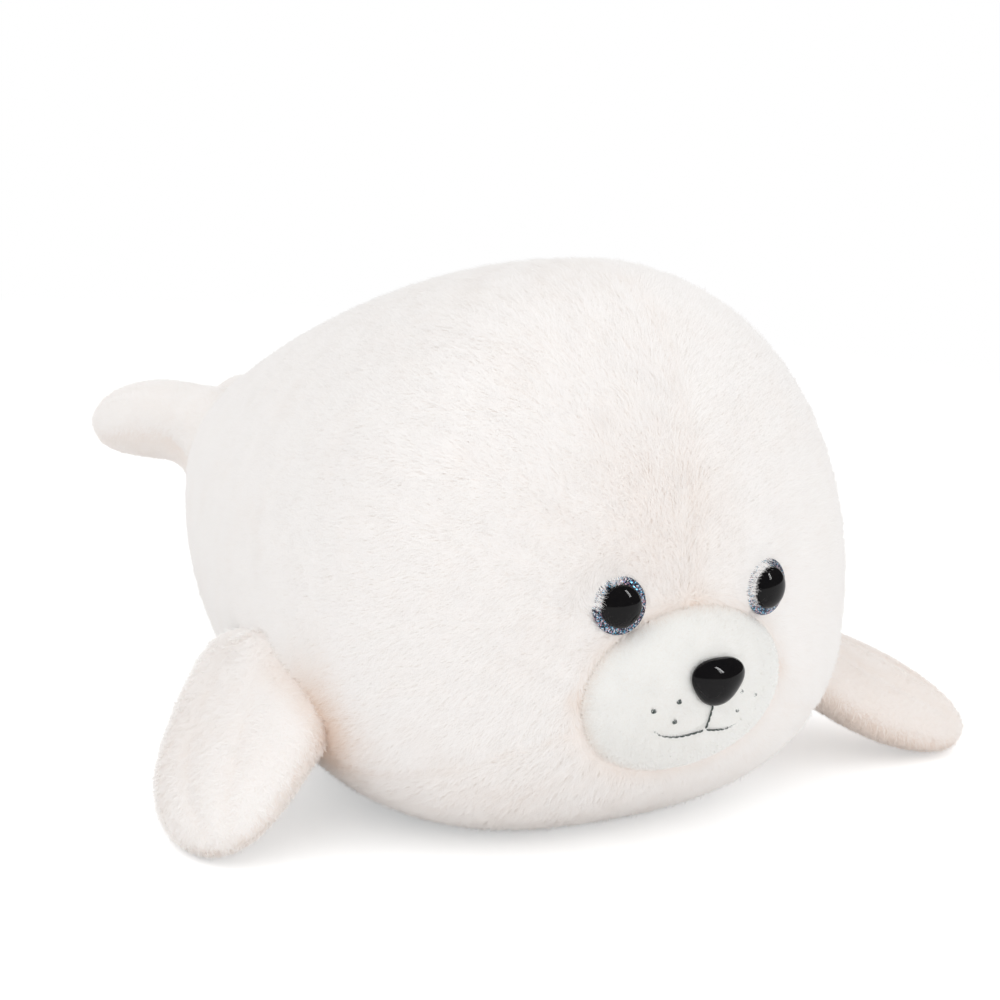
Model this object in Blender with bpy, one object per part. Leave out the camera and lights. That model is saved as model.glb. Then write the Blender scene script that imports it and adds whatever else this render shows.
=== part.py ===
"""Stuffed toy seal lying on its belly, modelled in metres.

The seal faces -Y. While it is built, x = 0 is its plane of symmetry, y = 0 its widest section and z = 0
the surface that it lies on; at the end everything moves so that the origin is at the bottom centre of its
bounding box. The body is an egg on its side. Its cloth is cut in panels with stuffing inside, and the eyes
and the nose are hard pieces whose stems pass through the cloth into lock washers.
"""
import math

import bmesh
import bpy
import numpy as np
from mathutils import Vector

SIDES = {"right": -1, "left": 1}

# Clearance between pieces that touch, and between panels along a seam, and round a flipper's stuffing
GAP = 0.0004
FILL_GAP = 0.0008

# Body
BODY_FRONT = 0.094
BODY_REAR = 0.315
BODY_HALF_WIDTH = 0.136
CROWN_RISE = 0.156
BELLY_DROP = 0.090
BELLY_SQUASH = 0.004
PLUSH = 0.004
BELLY_SEAM_ANGLE = math.radians(118)
CLOSING_ANGLE = math.radians(1.7)

# Shape of the egg: bluntness of its front and rear, and squareness of its lower half
FRONT_POWER = 2.5
REAR_POWER = 1.33
REAR_TAPER = 0.36
REAR_TAPER_POWER = 1.7
BELLY_POWER = 3.2
BELLY_SQUARENESS = 2.5

# Eyes
EYE_SPACING = 0.077
EYE_HEIGHT = 0.1175
EYE_RING_RADIUS = 0.0121
EYE_RING_THICKNESS = 0.0026
EYE_DOME_RADIUS = 0.0090
EYE_DOME_HEIGHT = 0.0045

# Muzzle patch, as high under the eyes as its oval clears their rings in front view
MUZZLE_HALF_WIDTH = 0.051
MUZZLE_HALF_HEIGHT = 0.0365
MUZZLE_RISE = 0.014
MUZZLE_CROWN_POWER = 2.2
MUZZLE_EDGE_POWER = 0.75
EYE_CLEARANCE = 0.0022
RING_ROOM = EYE_RING_RADIUS + EYE_CLEARANCE
EYES_ABOVE_MUZZLE = (MUZZLE_HALF_HEIGHT + RING_ROOM) * math.sqrt(
    1 - (EYE_SPACING / 2 / (MUZZLE_HALF_WIDTH + RING_ROOM)) ** 2)
MUZZLE_HEIGHT = EYE_HEIGHT - EYES_ABOVE_MUZZLE

# Nose
NOSE_ABOVE_MUZZLE = 0.011
NOSE_HEIGHT = MUZZLE_HEIGHT + NOSE_ABOVE_MUZZLE
NOSE_HALF_WIDTH = 0.0130
NOSE_HALF_HEIGHT = 0.0103
NOSE_DEPTH = 0.0082
NOSE_CORNERS = 0.11

# Stems and lock washers behind the eyes and the nose
STEM_RADIUS = 0.0025
STEM_END = 0.0040
WASHER_RADIUS = 0.0090
WASHER_THICKNESS = 0.0016
EYE_WASHER_CLEARANCE = 0.0022
NOSE_WASHER_CLEARANCE = 0.0019

# Mouth thread, with the marks of a smile as distances from the fork under the nose
THREAD_RADIUS = 0.0008
MOUTH_DROP = 0.0110
MOUTH_TOP = NOSE_HEIGHT - NOSE_HALF_HEIGHT * (1 + NOSE_CORNERS)
MOUTH_FORK = MOUTH_TOP - MOUTH_DROP
MOUTH_SMILE = ((0.0055, -0.0017), (0.0130, -0.0027), (0.0200, -0.0019), (0.0252, 0.0007))

# Whisker knots, with their places as distances from the muzzle's middle
KNOT_RADIUS = 0.0013
WHISKER_KNOTS = ((0.0168, 0.0027), (0.0272, -0.0010), (0.0168, -0.0065))

# Flippers: half sizes of the root and of the blade, and where along the blade its round end begins
FLIPPER_PLUSH = 0.0035
GROOVE_DEPTH = 0.0022
GROOVE_PLACE = 0.34
GROOVE_WIDTH = 0.11
FRONT_FLIPPER = {
    "root_half_width": 0.051, "blade_half_width": 0.0385,
    "root_half_thickness": 0.0150, "blade_half_thickness": 0.0190, "round_from": 0.55,
}
HIND_FLIPPER = {
    "root_half_width": 0.0195, "blade_half_width": 0.0280,
    "root_half_thickness": 0.0200, "blade_half_thickness": 0.0230, "round_from": 0.44,
}

# Each flipper's centre line as root, bend and tip, for the seal's left side, and the way its width points
FRONT_ROOT = (0.112, 0.034, 0.068)
FRONT_POSES = {
    "right": {"root": (0.112, 0.043, 0.070), "bend": (0.152, 0.026, 0.038), "tip": (0.175, -0.0215, 0.0100),
              "root_across": (-0.10, 1.0, 0.0), "tip_across": (0.72, 0.69, -0.60)},
    "left": {"root": FRONT_ROOT, "bend": (0.152, 0.009, 0.040), "tip": (0.225, -0.033, 0.0085),
             "root_across": (-0.10, 1.0, 0.0), "tip_across": (0.70, 0.71, 0.26)},
}
HIND_POSE = {"root": (0.022, 0.285, 0.098), "bend": (0.025, 0.319, 0.111), "tip": (0.042, 0.375, 0.089),
             "root_across": (1.0, 0.0, 0.0), "tip_across": (1.0, 0.0, -0.54)}

# Fineness of the surfaces
SIDE_COLUMNS = 11
BELLY_COLUMNS = 8
BODY_ROWS = 18
MUZZLE_ROWS = 6
FLIPPER_ROWS = 9
FLIPPER_ACROSS = (-1.0, -0.93, -0.75, -0.5, -0.34, -0.18, 0.0, 0.18, 0.34, 0.5, 0.75, 0.93, 1.0)
ROUND_STEPS = 22

# Colour, roughness and metallic value of each material
MATERIALS = {
    "cream_plush": ((0.905, 0.862, 0.815), 0.95, 0.0),
    "white_short_plush": ((0.890, 0.872, 0.835), 0.95, 0.0),
    "stuffing": ((0.900, 0.900, 0.880), 1.0, 0.0),
    "glossy_black": ((0.006, 0.006, 0.007), 0.08, 0.0),
    "glitter": ((0.080, 0.085, 0.120), 0.25, 0.6),
    "dark_thread": ((0.045, 0.052, 0.048), 0.80, 0.0),
    "clear_plastic": ((0.700, 0.700, 0.680), 0.40, 0.0),
}

POLE_HEIGHT = BELLY_DROP - BELLY_SQUASH


def material(name):
    """The named material, made the first time that it is asked for."""
    if name in bpy.data.materials:
        return bpy.data.materials[name]
    colour, roughness, metallic = MATERIALS[name]
    made = bpy.data.materials.new(name)
    made.use_nodes = True
    shader = made.node_tree.nodes["Principled BSDF"]
    shader.inputs["Base Color"].default_value = (*colour, 1.0)
    shader.inputs["Roughness"].default_value = roughness
    shader.inputs["Metallic"].default_value = metallic
    return made


def add_object(name, data, finish, parent):
    """A named object in the scene with one material, under the seal's empty."""
    data.materials.append(material(finish))
    made = bpy.data.objects.new(name, data)
    made.parent = parent
    bpy.context.scene.collection.objects.link(made)
    return made


def grid_faces(rows, columns, start, closed):
    """Quads of a grid of vertices numbered row by row, closed if its last column meets its first."""
    last = columns if closed else columns - 1
    return [
        (start + i * columns + j, start + i * columns + (j + 1) % columns,
         start + (i + 1) * columns + (j + 1) % columns, start + (i + 1) * columns + j)
        for i in range(rows - 1) for j in range(last)
    ]


def mesh_from(name, points, faces):
    """Mesh with coincident vertices merged, its faces pointing out and its round parts smooth."""
    merge_distance = 1e-6
    smooth_angle = math.radians(50)
    shape = bmesh.new()
    corners = [shape.verts.new(point) for point in points]
    for face in faces:
        shape.faces.new([corners[index] for index in face])
    bmesh.ops.remove_doubles(shape, verts=shape.verts, dist=merge_distance)
    bmesh.ops.recalc_face_normals(shape, faces=shape.faces)
    mesh = bpy.data.meshes.new(name)
    shape.to_mesh(mesh)
    shape.free()
    mesh.shade_smooth()
    mesh.set_sharp_from_angle(angle=smooth_angle)
    return mesh


def solid(name, grid):
    """Closed solid from a grid whose first and last rows are single points and whose columns close."""
    rows, columns, _ = grid.shape
    return mesh_from(name, grid.reshape(-1, 3).tolist(), grid_faces(rows, columns, 0, True))


def sheet(name, outer, inner, closed=False):
    """Closed solid between two grids, joined along their edges; a closed one has its first row at a point."""
    rows, columns, _ = outer.shape
    count = rows * columns
    faces = grid_faces(rows, columns, 0, closed) + grid_faces(rows, columns, count, closed)
    edge = [(rows - 1) * columns + j for j in range(columns)]
    if closed:
        edge.append(edge[0])
    else:
        edge = edge + [i * columns + columns - 1 for i in range(rows - 2, -1, -1)]
        edge = edge + list(range(columns - 2, -1, -1)) + [i * columns for i in range(1, rows)]
    faces += [(a, b, b + count, a + count) for a, b in zip(edge, edge[1:])]
    return mesh_from(name, np.concatenate([outer, inner]).reshape(-1, 3).tolist(), faces)


def turned(name, profile, steps):
    """Solid of revolution round Z from a profile of (radius, height) that starts and ends on the axis."""
    radius, height = np.array(profile).T
    angle = np.linspace(0, 2 * math.pi, steps, endpoint=False)
    grid = np.stack([radius[:, None] * np.cos(angle), radius[:, None] * np.sin(angle),
                     np.repeat(height[:, None], steps, axis=1)], -1)
    return solid(name, grid)


def turned_ring(name, profile, steps):
    """Ring turned round Z from a closed profile of (radius, height) that stays off the axis."""
    radius, height = np.array(profile + profile[:1]).T
    angle = np.linspace(0, 2 * math.pi, steps, endpoint=False)
    grid = np.stack([radius[:, None] * np.cos(angle), radius[:, None] * np.sin(angle),
                     np.repeat(height[:, None], steps, axis=1)], -1)
    return solid(name, grid)


def section(theta):
    """How far a section of the body reaches sideways and up at an angle turned from its crown."""
    low = np.cos(theta) < 0
    power = np.where(low, 2 / BELLY_SQUARENESS, 1.0)
    side = np.sign(np.sin(theta)) * np.abs(np.sin(theta)) ** power
    up = np.sign(np.cos(theta)) * np.abs(np.cos(theta)) ** power
    return side, up


def egg(psi, theta, inset=0.0):
    """Point on the body, as far inside its outer surface as inset.

    psi runs from the front pole over the widest section at 90 degrees to the rear pole at 180, and theta
    turns round the long axis from the crown. The rear half tapers to its pole, its underside stays low for
    longer, and what would be lower than the surface that the seal lies on is pressed flat.
    """
    psi, theta = np.broadcast_arrays(psi, theta)
    front = np.clip(np.cos(psi), 0, 1)
    rear = np.clip(-np.cos(psi), 0, 1)
    ahead = np.sqrt(1 - front ** FRONT_POWER)
    taper = 1 - REAR_TAPER * rear ** REAR_TAPER_POWER
    size = np.where(front > 0, ahead, taper * np.sqrt(1 - rear ** REAR_POWER))
    belly = np.where(front > 0, ahead, np.sqrt(1 - rear ** BELLY_POWER))
    side, up = section(theta)
    x = (BODY_HALF_WIDTH - inset) * size * side
    y = np.where(front > 0, -(BODY_FRONT - inset) * front, (BODY_REAR - inset) * rear)
    z = POLE_HEIGHT + np.where(up < 0, (BELLY_DROP - inset) * belly, (CROWN_RISE - inset) * size) * up
    return np.stack([x, y, np.maximum(z, inset)], -1)


def muzzle_reach(theta, inset=0.0):
    """Radius, as a share of the widest section, where the muzzle's oval edge lies at an angle."""
    side, up = section(theta)
    across = BODY_HALF_WIDTH * side / (MUZZLE_HALF_WIDTH - inset)
    upward = np.where(up < 0, BELLY_DROP, CROWN_RISE) * up / (MUZZLE_HALF_HEIGHT - inset)
    offset = (POLE_HEIGHT - MUZZLE_HEIGHT) / (MUZZLE_HALF_HEIGHT - inset)
    square = across ** 2 + upward ** 2
    linear = upward * offset
    return (np.sqrt(linear ** 2 + square * (1 - offset ** 2)) - linear) / square


def front_psi(size):
    """Angle from the front pole at which the body has this share of its widest section."""
    return np.arccos((1 - size ** 2) ** (1 / FRONT_POWER))


def muzzle(share, theta, inset=0.0):
    """Point on the raised muzzle, where share runs from its middle (0) to its edge (1)."""
    share, theta = np.broadcast_arrays(share, theta)
    points = egg(front_psi(share * muzzle_reach(theta, inset)), theta, inset)
    rise = MUZZLE_RISE * (1 - share ** MUZZLE_CROWN_POWER) ** MUZZLE_EDGE_POWER
    points[..., 1] -= rise
    return points


def face_point(x, z):
    """Point on the outer surface of the face at a place in front view."""
    low = z < POLE_HEIGHT
    power = BELLY_SQUARENESS if low else 2.0
    across = abs(x) / BODY_HALF_WIDTH
    upward = abs(z - POLE_HEIGHT) / (BELLY_DROP if low else CROWN_RISE)
    size = (across ** power + upward ** power) ** (1 / power)
    sine = (across / size) ** (power / 2)
    cosine = (upward / size) ** (power / 2)
    theta = math.atan2(math.copysign(sine, x), -cosine if low else cosine)
    share = size / float(muzzle_reach(np.array(theta)))
    if share < 1:
        return Vector(muzzle(np.array(share), np.array(theta)))
    return Vector(egg(front_psi(np.array(size)), np.array(theta)))


def face_normal(x, z):
    """Direction out of the face at a place in front view."""
    step = 0.003
    sideways = face_point(x + step, z) - face_point(x - step, z)
    upward = face_point(x, z + step) - face_point(x, z - step)
    return sideways.cross(upward).normalized()


def body_columns():
    """Angles of the panel edges and of the columns between them, for the left side and for the belly."""
    side = np.linspace(0, BELLY_SEAM_ANGLE, SIDE_COLUMNS + 1)
    belly = np.linspace(BELLY_SEAM_ANGLE, 2 * math.pi - BELLY_SEAM_ANGLE, BELLY_COLUMNS + 1)
    return side, belly


def body_rows(theta):
    """Angles from the front pole of the rows between the muzzle's edge and the point where seams meet."""
    edge = front_psi(muzzle_reach(theta) * (1 + GAP / MUZZLE_HALF_HEIGHT))
    share = np.linspace(0, 1, BODY_ROWS + 1)[:, None]
    return edge + (math.pi - CLOSING_ANGLE - edge) * share


def body_panel(name, theta, parent):
    """Cloth panel of the body between two seams."""
    psi = body_rows(theta[None, :])
    theta = np.broadcast_to(theta, psi.shape).copy()
    radius = np.linalg.norm((egg(psi, theta) - (0, 0, POLE_HEIGHT))[..., ::2], axis=-1)
    half_gap = GAP / 2 / radius
    theta[:, 0] += half_gap[:, 0]
    theta[:, -1] -= half_gap[:, -1]
    mesh = sheet(name, egg(psi, theta), egg(psi, theta, PLUSH))
    return add_object(name, mesh, "cream_plush", parent)


def muzzle_panel(parent):
    """Raised oval patch of the muzzle."""
    theta = all_columns()[None, :]
    share = np.sin(np.linspace(0, math.pi / 2, MUZZLE_ROWS + 1))[:, None]
    mesh = sheet("muzzle_panel", muzzle(share, theta), muzzle(share, theta, PLUSH), closed=True)
    return add_object("muzzle_panel", mesh, "white_short_plush", parent)


def all_columns():
    """Angles of the columns all round the body."""
    side, belly = body_columns()
    return np.concatenate([side[:-1], belly[:-1], 2 * math.pi - side[:0:-1]])


def body_solid(name, inset):
    """Closed solid of the whole body at a distance inside its outer surface."""
    theta = all_columns()[None, :]
    share = np.sin(np.linspace(0, math.pi / 2, MUZZLE_ROWS + 1))[:, None]
    rear_pole = egg(np.full((1, 1), math.pi), theta, inset)
    grid = np.concatenate([muzzle(share, theta, inset), egg(body_rows(theta[0][None, :]), theta, inset), rear_pole])
    return solid(name, grid)


def cutter(name, mesh, parent):
    """Guide object that only cuts others and isn't part of the seal."""
    made = bpy.data.objects.new(name, mesh)
    made.parent = parent
    made.hide_render = True
    made.display_type = "WIRE"
    bpy.context.scene.collection.objects.link(made)
    return made


def cut(target, guide):
    """Take a guide's volume away from an object."""
    boolean = target.modifiers.new(f"cut by {guide.name}", "BOOLEAN")
    boolean.operation = "DIFFERENCE"
    boolean.object = guide


def paddle(pose, sizes, along, across, face, side, inset=0.0, grooves=True):
    """Points of one face of a flipper, a paddle that follows a bent centre line.

    along runs from the root (0) to the tip (1), across from edge to edge (-1 to 1), and face is 1 for the
    upper face and -1 for the lower. The paddle is an ellipse in section, its end is round, and two grooves
    between stitched fingers fade in towards the end.
    """
    root, bend, tip = (np.array(pose[key]) for key in ("root", "bend", "tip"))
    length = np.linalg.norm(bend - root) + np.linalg.norm(tip - bend)
    s = along[:, None] * (1 - inset / length)
    centre = (1 - s) ** 2 * root + 2 * s * (1 - s) * bend + s ** 2 * tip
    forward = 2 * (1 - s) * (bend - root) + 2 * s * (tip - bend)
    forward /= np.linalg.norm(forward, axis=1, keepdims=True)
    width = [np.array(pose[key]) / np.linalg.norm(pose[key]) for key in ("root_across", "tip_across")]
    sideways = width[0] * (1 - s) + width[1] * s
    sideways -= (sideways * forward).sum(1, keepdims=True) * forward
    sideways /= np.linalg.norm(sideways, axis=1, keepdims=True)
    upward = np.cross(sideways, forward)
    upward *= np.sign(upward[:, 2:].sum())

    beyond = np.clip((along - sizes["round_from"]) / (1 - sizes["round_from"]), 0, 1)
    end = np.sqrt(1 - beyond ** 2)
    blend = along ** 2 * (3 - 2 * along)
    half_width = (sizes["root_half_width"] * (1 - blend) + sizes["blade_half_width"] * blend - inset) * end
    thickness = sizes["root_half_thickness"] * (1 - blend) + sizes["blade_half_thickness"] * blend
    bulge = np.sqrt(1 - across ** 2)[None, :] * ((thickness - inset) * end ** 0.8)[:, None]
    if grooves:
        groove = sum(np.exp(-((across - place) / GROOVE_WIDTH) ** 2) for place in (-GROOVE_PLACE, GROOVE_PLACE))
        bulge -= GROOVE_DEPTH * groove[None, :] * (blend * end)[:, None]
    points = (centre[:, None] + sideways[:, None] * (half_width[:, None] * across)[..., None]
              + face * upward[:, None] * bulge[..., None])
    return points * (side, 1, 1), face * upward * (side, 1, 1)


def flipper(name, pose, sizes, side, body_form, parent):
    """Upper and lower panel and stuffing of one flipper, with its root cut to the body."""
    along = np.sin(np.linspace(0, math.pi / 2, FLIPPER_ROWS + 1))
    across = np.array(FLIPPER_ACROSS)
    for part, face in (("upper", 1), ("lower", -1)):
        outer, away = paddle(pose, sizes, along, across, face, side)
        inner, _ = paddle(pose, sizes, along, across, face, side, FLIPPER_PLUSH, grooves=False)
        seam = away[:, None] * GAP / 2
        panel_name = f"{name}_{part}_panel"
        mesh = sheet(panel_name, outer + seam, inner + seam)
        cut(add_object(panel_name, mesh, "cream_plush", parent), body_form)

    inset = FLIPPER_PLUSH + FILL_GAP
    faces = [paddle(pose, sizes, along, across, face, side, inset, grooves=False)[0] for face in (1, -1)]
    ring = np.concatenate([faces[0], faces[1][:, -2:0:-1]], axis=1)
    root = np.repeat(ring[:1].mean(axis=1, keepdims=True), ring.shape[1], axis=1)
    mesh = solid(f"{name}_stuffing", np.concatenate([root, ring]))
    cut(add_object(f"{name}_stuffing", mesh, "stuffing", parent), body_form)


def stem_hole(name, radius, depth, place, direction, parent):
    """Round cutter that goes in from outside the cloth to a depth behind it."""
    outside = 0.004
    hole = [(0, outside), (radius, outside), (radius, -depth), (0, -depth)]
    made = cutter(name, turned(name, hole, ROUND_STEPS), parent)
    point_along(made, place, direction)
    return made


def point_along(target, place, direction):
    """Put an object at a place with its Z axis along a direction."""
    target.location = place
    target.rotation_mode = "QUATERNION"
    target.rotation_quaternion = direction.to_track_quat("Z", "Y")


def washer_set_back(clearance, direction, normal):
    """How far behind the cloth a washer lies, so that its rim clears cloth that leans away from the stem."""
    lean = direction.angle(normal)
    return clearance + WASHER_RADIUS * math.tan(lean)


def stem_depth(set_back):
    """How far behind the cloth's outer face a stem ends, past its washer."""
    return PLUSH + set_back + WASHER_THICKNESS + STEM_END


def lock_washer(name, place, direction, set_back, parent):
    """Washer pressed on a stem behind the cloth."""
    front = -(PLUSH + set_back)
    back = front - WASHER_THICKNESS
    bore = STEM_RADIUS + GAP
    ring = [(bore, front), (WASHER_RADIUS, front), (WASHER_RADIUS, back), (bore, back)]
    washer = add_object(name, turned_ring(name, ring, ROUND_STEPS), "clear_plastic", parent)
    point_along(washer, place, direction)


def fastening(name, cloth, stuffing, place, direction, set_back, parent):
    """Washer, hole in the cloth and pocket in the stuffing for one stem."""
    lock_washer(f"{name}_washer", place, direction, set_back, parent)
    depth = stem_depth(set_back)
    clear = 0.001
    cut(cloth, stem_hole(f"{name}_hole", STEM_RADIUS + GAP, depth + clear, place, direction, parent))
    cut(stuffing, stem_hole(f"{name}_pocket", WASHER_RADIUS + clear, depth + clear, place, direction, parent))


def eye(side_name, cloth, stuffing, parent):
    """Black dome with its stem, and the glitter ring under it."""
    x = SIDES[side_name] * EYE_SPACING / 2
    place = face_point(x, EYE_HEIGHT)
    direction = face_normal(x, EYE_HEIGHT)
    stem_end = -stem_depth(EYE_WASHER_CLEARANCE)
    top = GAP + EYE_RING_THICKNESS
    rim = GAP + EYE_RING_THICKNESS * 0.45
    bore = STEM_RADIUS + GAP

    ring = [(bore, top), (EYE_DOME_RADIUS, top), (EYE_RING_RADIUS * 0.93, rim + EYE_RING_THICKNESS * 0.25),
            (EYE_RING_RADIUS, rim), (EYE_RING_RADIUS * 0.97, GAP), (bore, GAP)]
    disc = add_object(f"eye_ring_{side_name}", turned_ring("ring", ring, ROUND_STEPS), "glitter", parent)
    point_along(disc, place, direction)

    base = top + GAP
    arc = [math.radians(angle) for angle in range(0, 90, 15)]
    dome = [(0, base + EYE_DOME_HEIGHT)]
    dome += [(EYE_DOME_RADIUS * math.sin(a), base + EYE_DOME_HEIGHT * math.cos(a)) for a in arc[1:]]
    dome += [(EYE_DOME_RADIUS, base), (STEM_RADIUS, base), (STEM_RADIUS, stem_end), (0, stem_end)]
    pupil = add_object(f"eye_{side_name}", turned("eye", dome, ROUND_STEPS), "glossy_black", parent)
    point_along(pupil, place, direction)
    fastening(f"eye_{side_name}", cloth, stuffing, place, direction, EYE_WASHER_CLEARANCE, parent)


def nose(cloth, stuffing, parent):
    """Rounded triangle with its point down, domed in front, on a stem."""
    place = face_point(0, NOSE_HEIGHT)
    direction = Vector((0, -1, 0))
    set_back = washer_set_back(NOSE_WASHER_CLEARANCE, direction, face_normal(0, NOSE_HEIGHT))
    stem_end = -stem_depth(set_back)
    angle = np.linspace(0, 2 * math.pi, ROUND_STEPS, endpoint=False)
    corner = 1 + NOSE_CORNERS * np.sin(3 * angle)
    outline = np.stack([NOSE_HALF_WIDTH * corner * np.cos(angle), NOSE_HALF_HEIGHT * corner * np.sin(angle)], -1)
    stem = STEM_RADIUS * np.stack([np.cos(angle), np.sin(angle)], -1)

    def level(flat, height):
        return np.concatenate([flat, np.full((len(flat), 1), height)], axis=1)

    rows = [level(outline * math.sin(a), GAP + NOSE_DEPTH * (0.15 + 0.85 * math.cos(a)))
            for a in (math.radians(d) for d in range(0, 105, 15))]
    rows += [level(outline * 0.94, GAP), level(stem, GAP), level(stem, stem_end), level(stem * 0, stem_end)]
    button = add_object("nose", solid("nose", np.array(rows)), "glossy_black", parent)
    button.location = place
    button.rotation_euler = (math.pi / 2, 0, 0)
    fastening("nose", cloth, stuffing, place, direction, set_back, parent)


def thread(name, marks, parent):
    """Embroidered run that lies on the face along marks in front view."""
    lift = THREAD_RADIUS + GAP
    curve = bpy.data.curves.new(name, "CURVE")
    curve.dimensions = "3D"
    curve.bevel_depth = THREAD_RADIUS
    curve.bevel_resolution = 2
    curve.use_fill_caps = True
    spline = curve.splines.new("POLY")
    spline.points.add(len(marks) - 1)
    for point, (x, z) in zip(spline.points, marks):
        point.co = (*(face_point(x, z) + lift * face_normal(x, z)), 1.0)
    return add_object(name, curve, "dark_thread", parent)


def smooth_run(marks, steps):
    """Smooth line through marks, with steps between each pair of them."""
    marks = [np.array(mark) for mark in marks]
    padded = [2 * marks[0] - marks[1], *marks, 2 * marks[-1] - marks[-2]]
    line = []
    for a, b, c, d in zip(padded, padded[1:], padded[2:], padded[3:]):
        for t in np.linspace(0, 1, steps, endpoint=False):
            line.append(0.5 * (2 * b + (c - a) * t + (2 * a - 5 * b + 4 * c - d) * t ** 2
                               + (3 * b - a - 3 * c + d) * t ** 3))
    return [tuple(point) for point in line] + [tuple(marks[-1])]


def mouth(parent):
    """Upright run under the nose and the two halves of the smile, and the whisker knots."""
    steps = 3
    space = 2 * THREAD_RADIUS + GAP
    thread("mouth_stitch_upright", smooth_run([(0.0, MOUTH_TOP), (0.0, MOUTH_FORK)], steps), parent)
    for side_name, side in SIDES.items():
        start = (space / 2, -space)
        marks = [(side * x, MOUTH_FORK + z) for x, z in (start, *MOUTH_SMILE)]
        thread(f"mouth_stitch_{side_name}", smooth_run(marks, steps), parent)
        for number, (x, z) in enumerate(WHISKER_KNOTS, 1):
            whisker_knot(f"whisker_knot_{side_name}_{number}", side * x, MUZZLE_HEIGHT + z, parent)


def whisker_knot(name, x, z, parent):
    """Small round thread knot on the face."""
    flatness = 0.6
    arc = [math.radians(angle) for angle in range(0, 181, 30)]
    ball = [(KNOT_RADIUS * math.sin(a), KNOT_RADIUS * flatness * math.cos(a)) for a in arc]
    knot = add_object(name, turned(name, ball, 10), "dark_thread", parent)
    direction = face_normal(x, z)
    point_along(knot, face_point(x, z) + direction * (KNOT_RADIUS * flatness + GAP), direction)


def rest_centre(parent):
    """Move the seal so that the origin is at the bottom centre of its bounding box."""
    bpy.context.view_layer.update()
    state = bpy.context.evaluated_depsgraph_get()
    corners = []
    for part in bpy.context.scene.objects:
        if part.type in {"MESH", "CURVE"} and not part.hide_render:
            shape = part.evaluated_get(state).to_mesh()
            place = np.array(part.matrix_world)
            flat = np.empty(len(shape.vertices) * 3)
            shape.vertices.foreach_get("co", flat)
            corners.append(flat.reshape(-1, 3) @ place[:3, :3].T + place[:3, 3])
            part.evaluated_get(state).to_mesh_clear()
    corners = np.concatenate(corners)
    middle = (corners.min(axis=0) + corners.max(axis=0)) / 2
    parent.location = (-middle[0], -middle[1], -corners[:, 2].min())


def build():
    """The whole seal."""
    for old in list(bpy.data.objects):
        bpy.data.objects.remove(old)
    seal = bpy.data.objects.new("seal", None)
    bpy.context.scene.collection.objects.link(seal)

    side, belly = body_columns()
    left = body_panel("body_side_left", side, seal)
    right = body_panel("body_side_right", 2 * math.pi - side[::-1], seal)
    body_panel("belly_panel", belly, seal)
    stuffing = add_object("body_stuffing", body_solid("body_stuffing", PLUSH + GAP), "stuffing", seal)
    muzzle_cloth = muzzle_panel(seal)

    for side_name, cloth in (("left", left), ("right", right)):
        eye(side_name, cloth, stuffing, seal)
    nose(muzzle_cloth, stuffing, seal)
    mouth(seal)

    body_form = cutter("body_form", body_solid("body_form", -GAP), seal)
    for side_name, sign in SIDES.items():
        flipper(f"front_flipper_{side_name}", FRONT_POSES[side_name], FRONT_FLIPPER, sign, body_form, seal)
        flipper(f"hind_flipper_{side_name}", HIND_POSE, HIND_FLIPPER, sign, body_form, seal)
    rest_centre(seal)


build()
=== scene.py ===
"""Looks of a stuffed toy seal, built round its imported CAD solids.

The cloth of the body, muzzle and flippers is made again as thin skins from the formulas of the solids, a
little under their surface, and each skin grows a pile of leaning blades that ends about at the surface.
At their roots the flippers' skins spread a few millimetres past their solids to meet the body. Eyes, nose,
mouth and whisker stitches are finer copies of their solids, and the filling and washers inside keep theirs.
Lengths are metres. Shapes are worked out with x = 0 as the seal's plane of symmetry and y = 0 as its widest
section, and are moved to the frame's place when they become meshes.
"""
import math

import bmesh
import bpy
import numpy as np
from mathutils import Matrix, Vector


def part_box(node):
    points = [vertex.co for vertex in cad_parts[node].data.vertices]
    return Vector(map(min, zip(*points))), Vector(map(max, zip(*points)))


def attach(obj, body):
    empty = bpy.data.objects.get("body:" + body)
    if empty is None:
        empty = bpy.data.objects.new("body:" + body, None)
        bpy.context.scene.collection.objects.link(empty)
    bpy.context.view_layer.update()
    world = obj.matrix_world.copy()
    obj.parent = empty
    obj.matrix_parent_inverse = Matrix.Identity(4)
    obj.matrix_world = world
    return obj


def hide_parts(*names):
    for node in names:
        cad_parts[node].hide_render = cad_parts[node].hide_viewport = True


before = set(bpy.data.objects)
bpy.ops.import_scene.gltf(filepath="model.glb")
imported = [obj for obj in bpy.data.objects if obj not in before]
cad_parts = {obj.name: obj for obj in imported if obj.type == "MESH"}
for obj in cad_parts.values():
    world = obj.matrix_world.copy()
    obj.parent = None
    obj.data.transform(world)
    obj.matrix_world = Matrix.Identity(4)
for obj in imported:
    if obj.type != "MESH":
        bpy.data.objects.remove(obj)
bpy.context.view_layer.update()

SIDES = {"right": -1, "left": 1}

# Seeds of the random draws
BODY_SEED = 7
MUZZLE_SEED = 90
FRONT_SEEDS = {"right": 200, "left": 210}
HIND_SEEDS = {"right": 300, "left": 310}

# Body, as the solids have it
BODY_FRONT = 0.094
BODY_REAR = 0.315
BODY_HALF_WIDTH = 0.136
CROWN_RISE = 0.156
BELLY_DROP = 0.090
BELLY_SQUASH = 0.004
POLE_HEIGHT = BELLY_DROP - BELLY_SQUASH
BELLY_SEAM_ANGLE = math.radians(118)
CLOSING_ANGLE = math.radians(1.7)
FRONT_POWER = 2.5
REAR_POWER = 1.33
REAR_TAPER = 0.36
REAR_TAPER_POWER = 1.7
BELLY_POWER = 3.2
BELLY_SQUARENESS = 2.5

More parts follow.
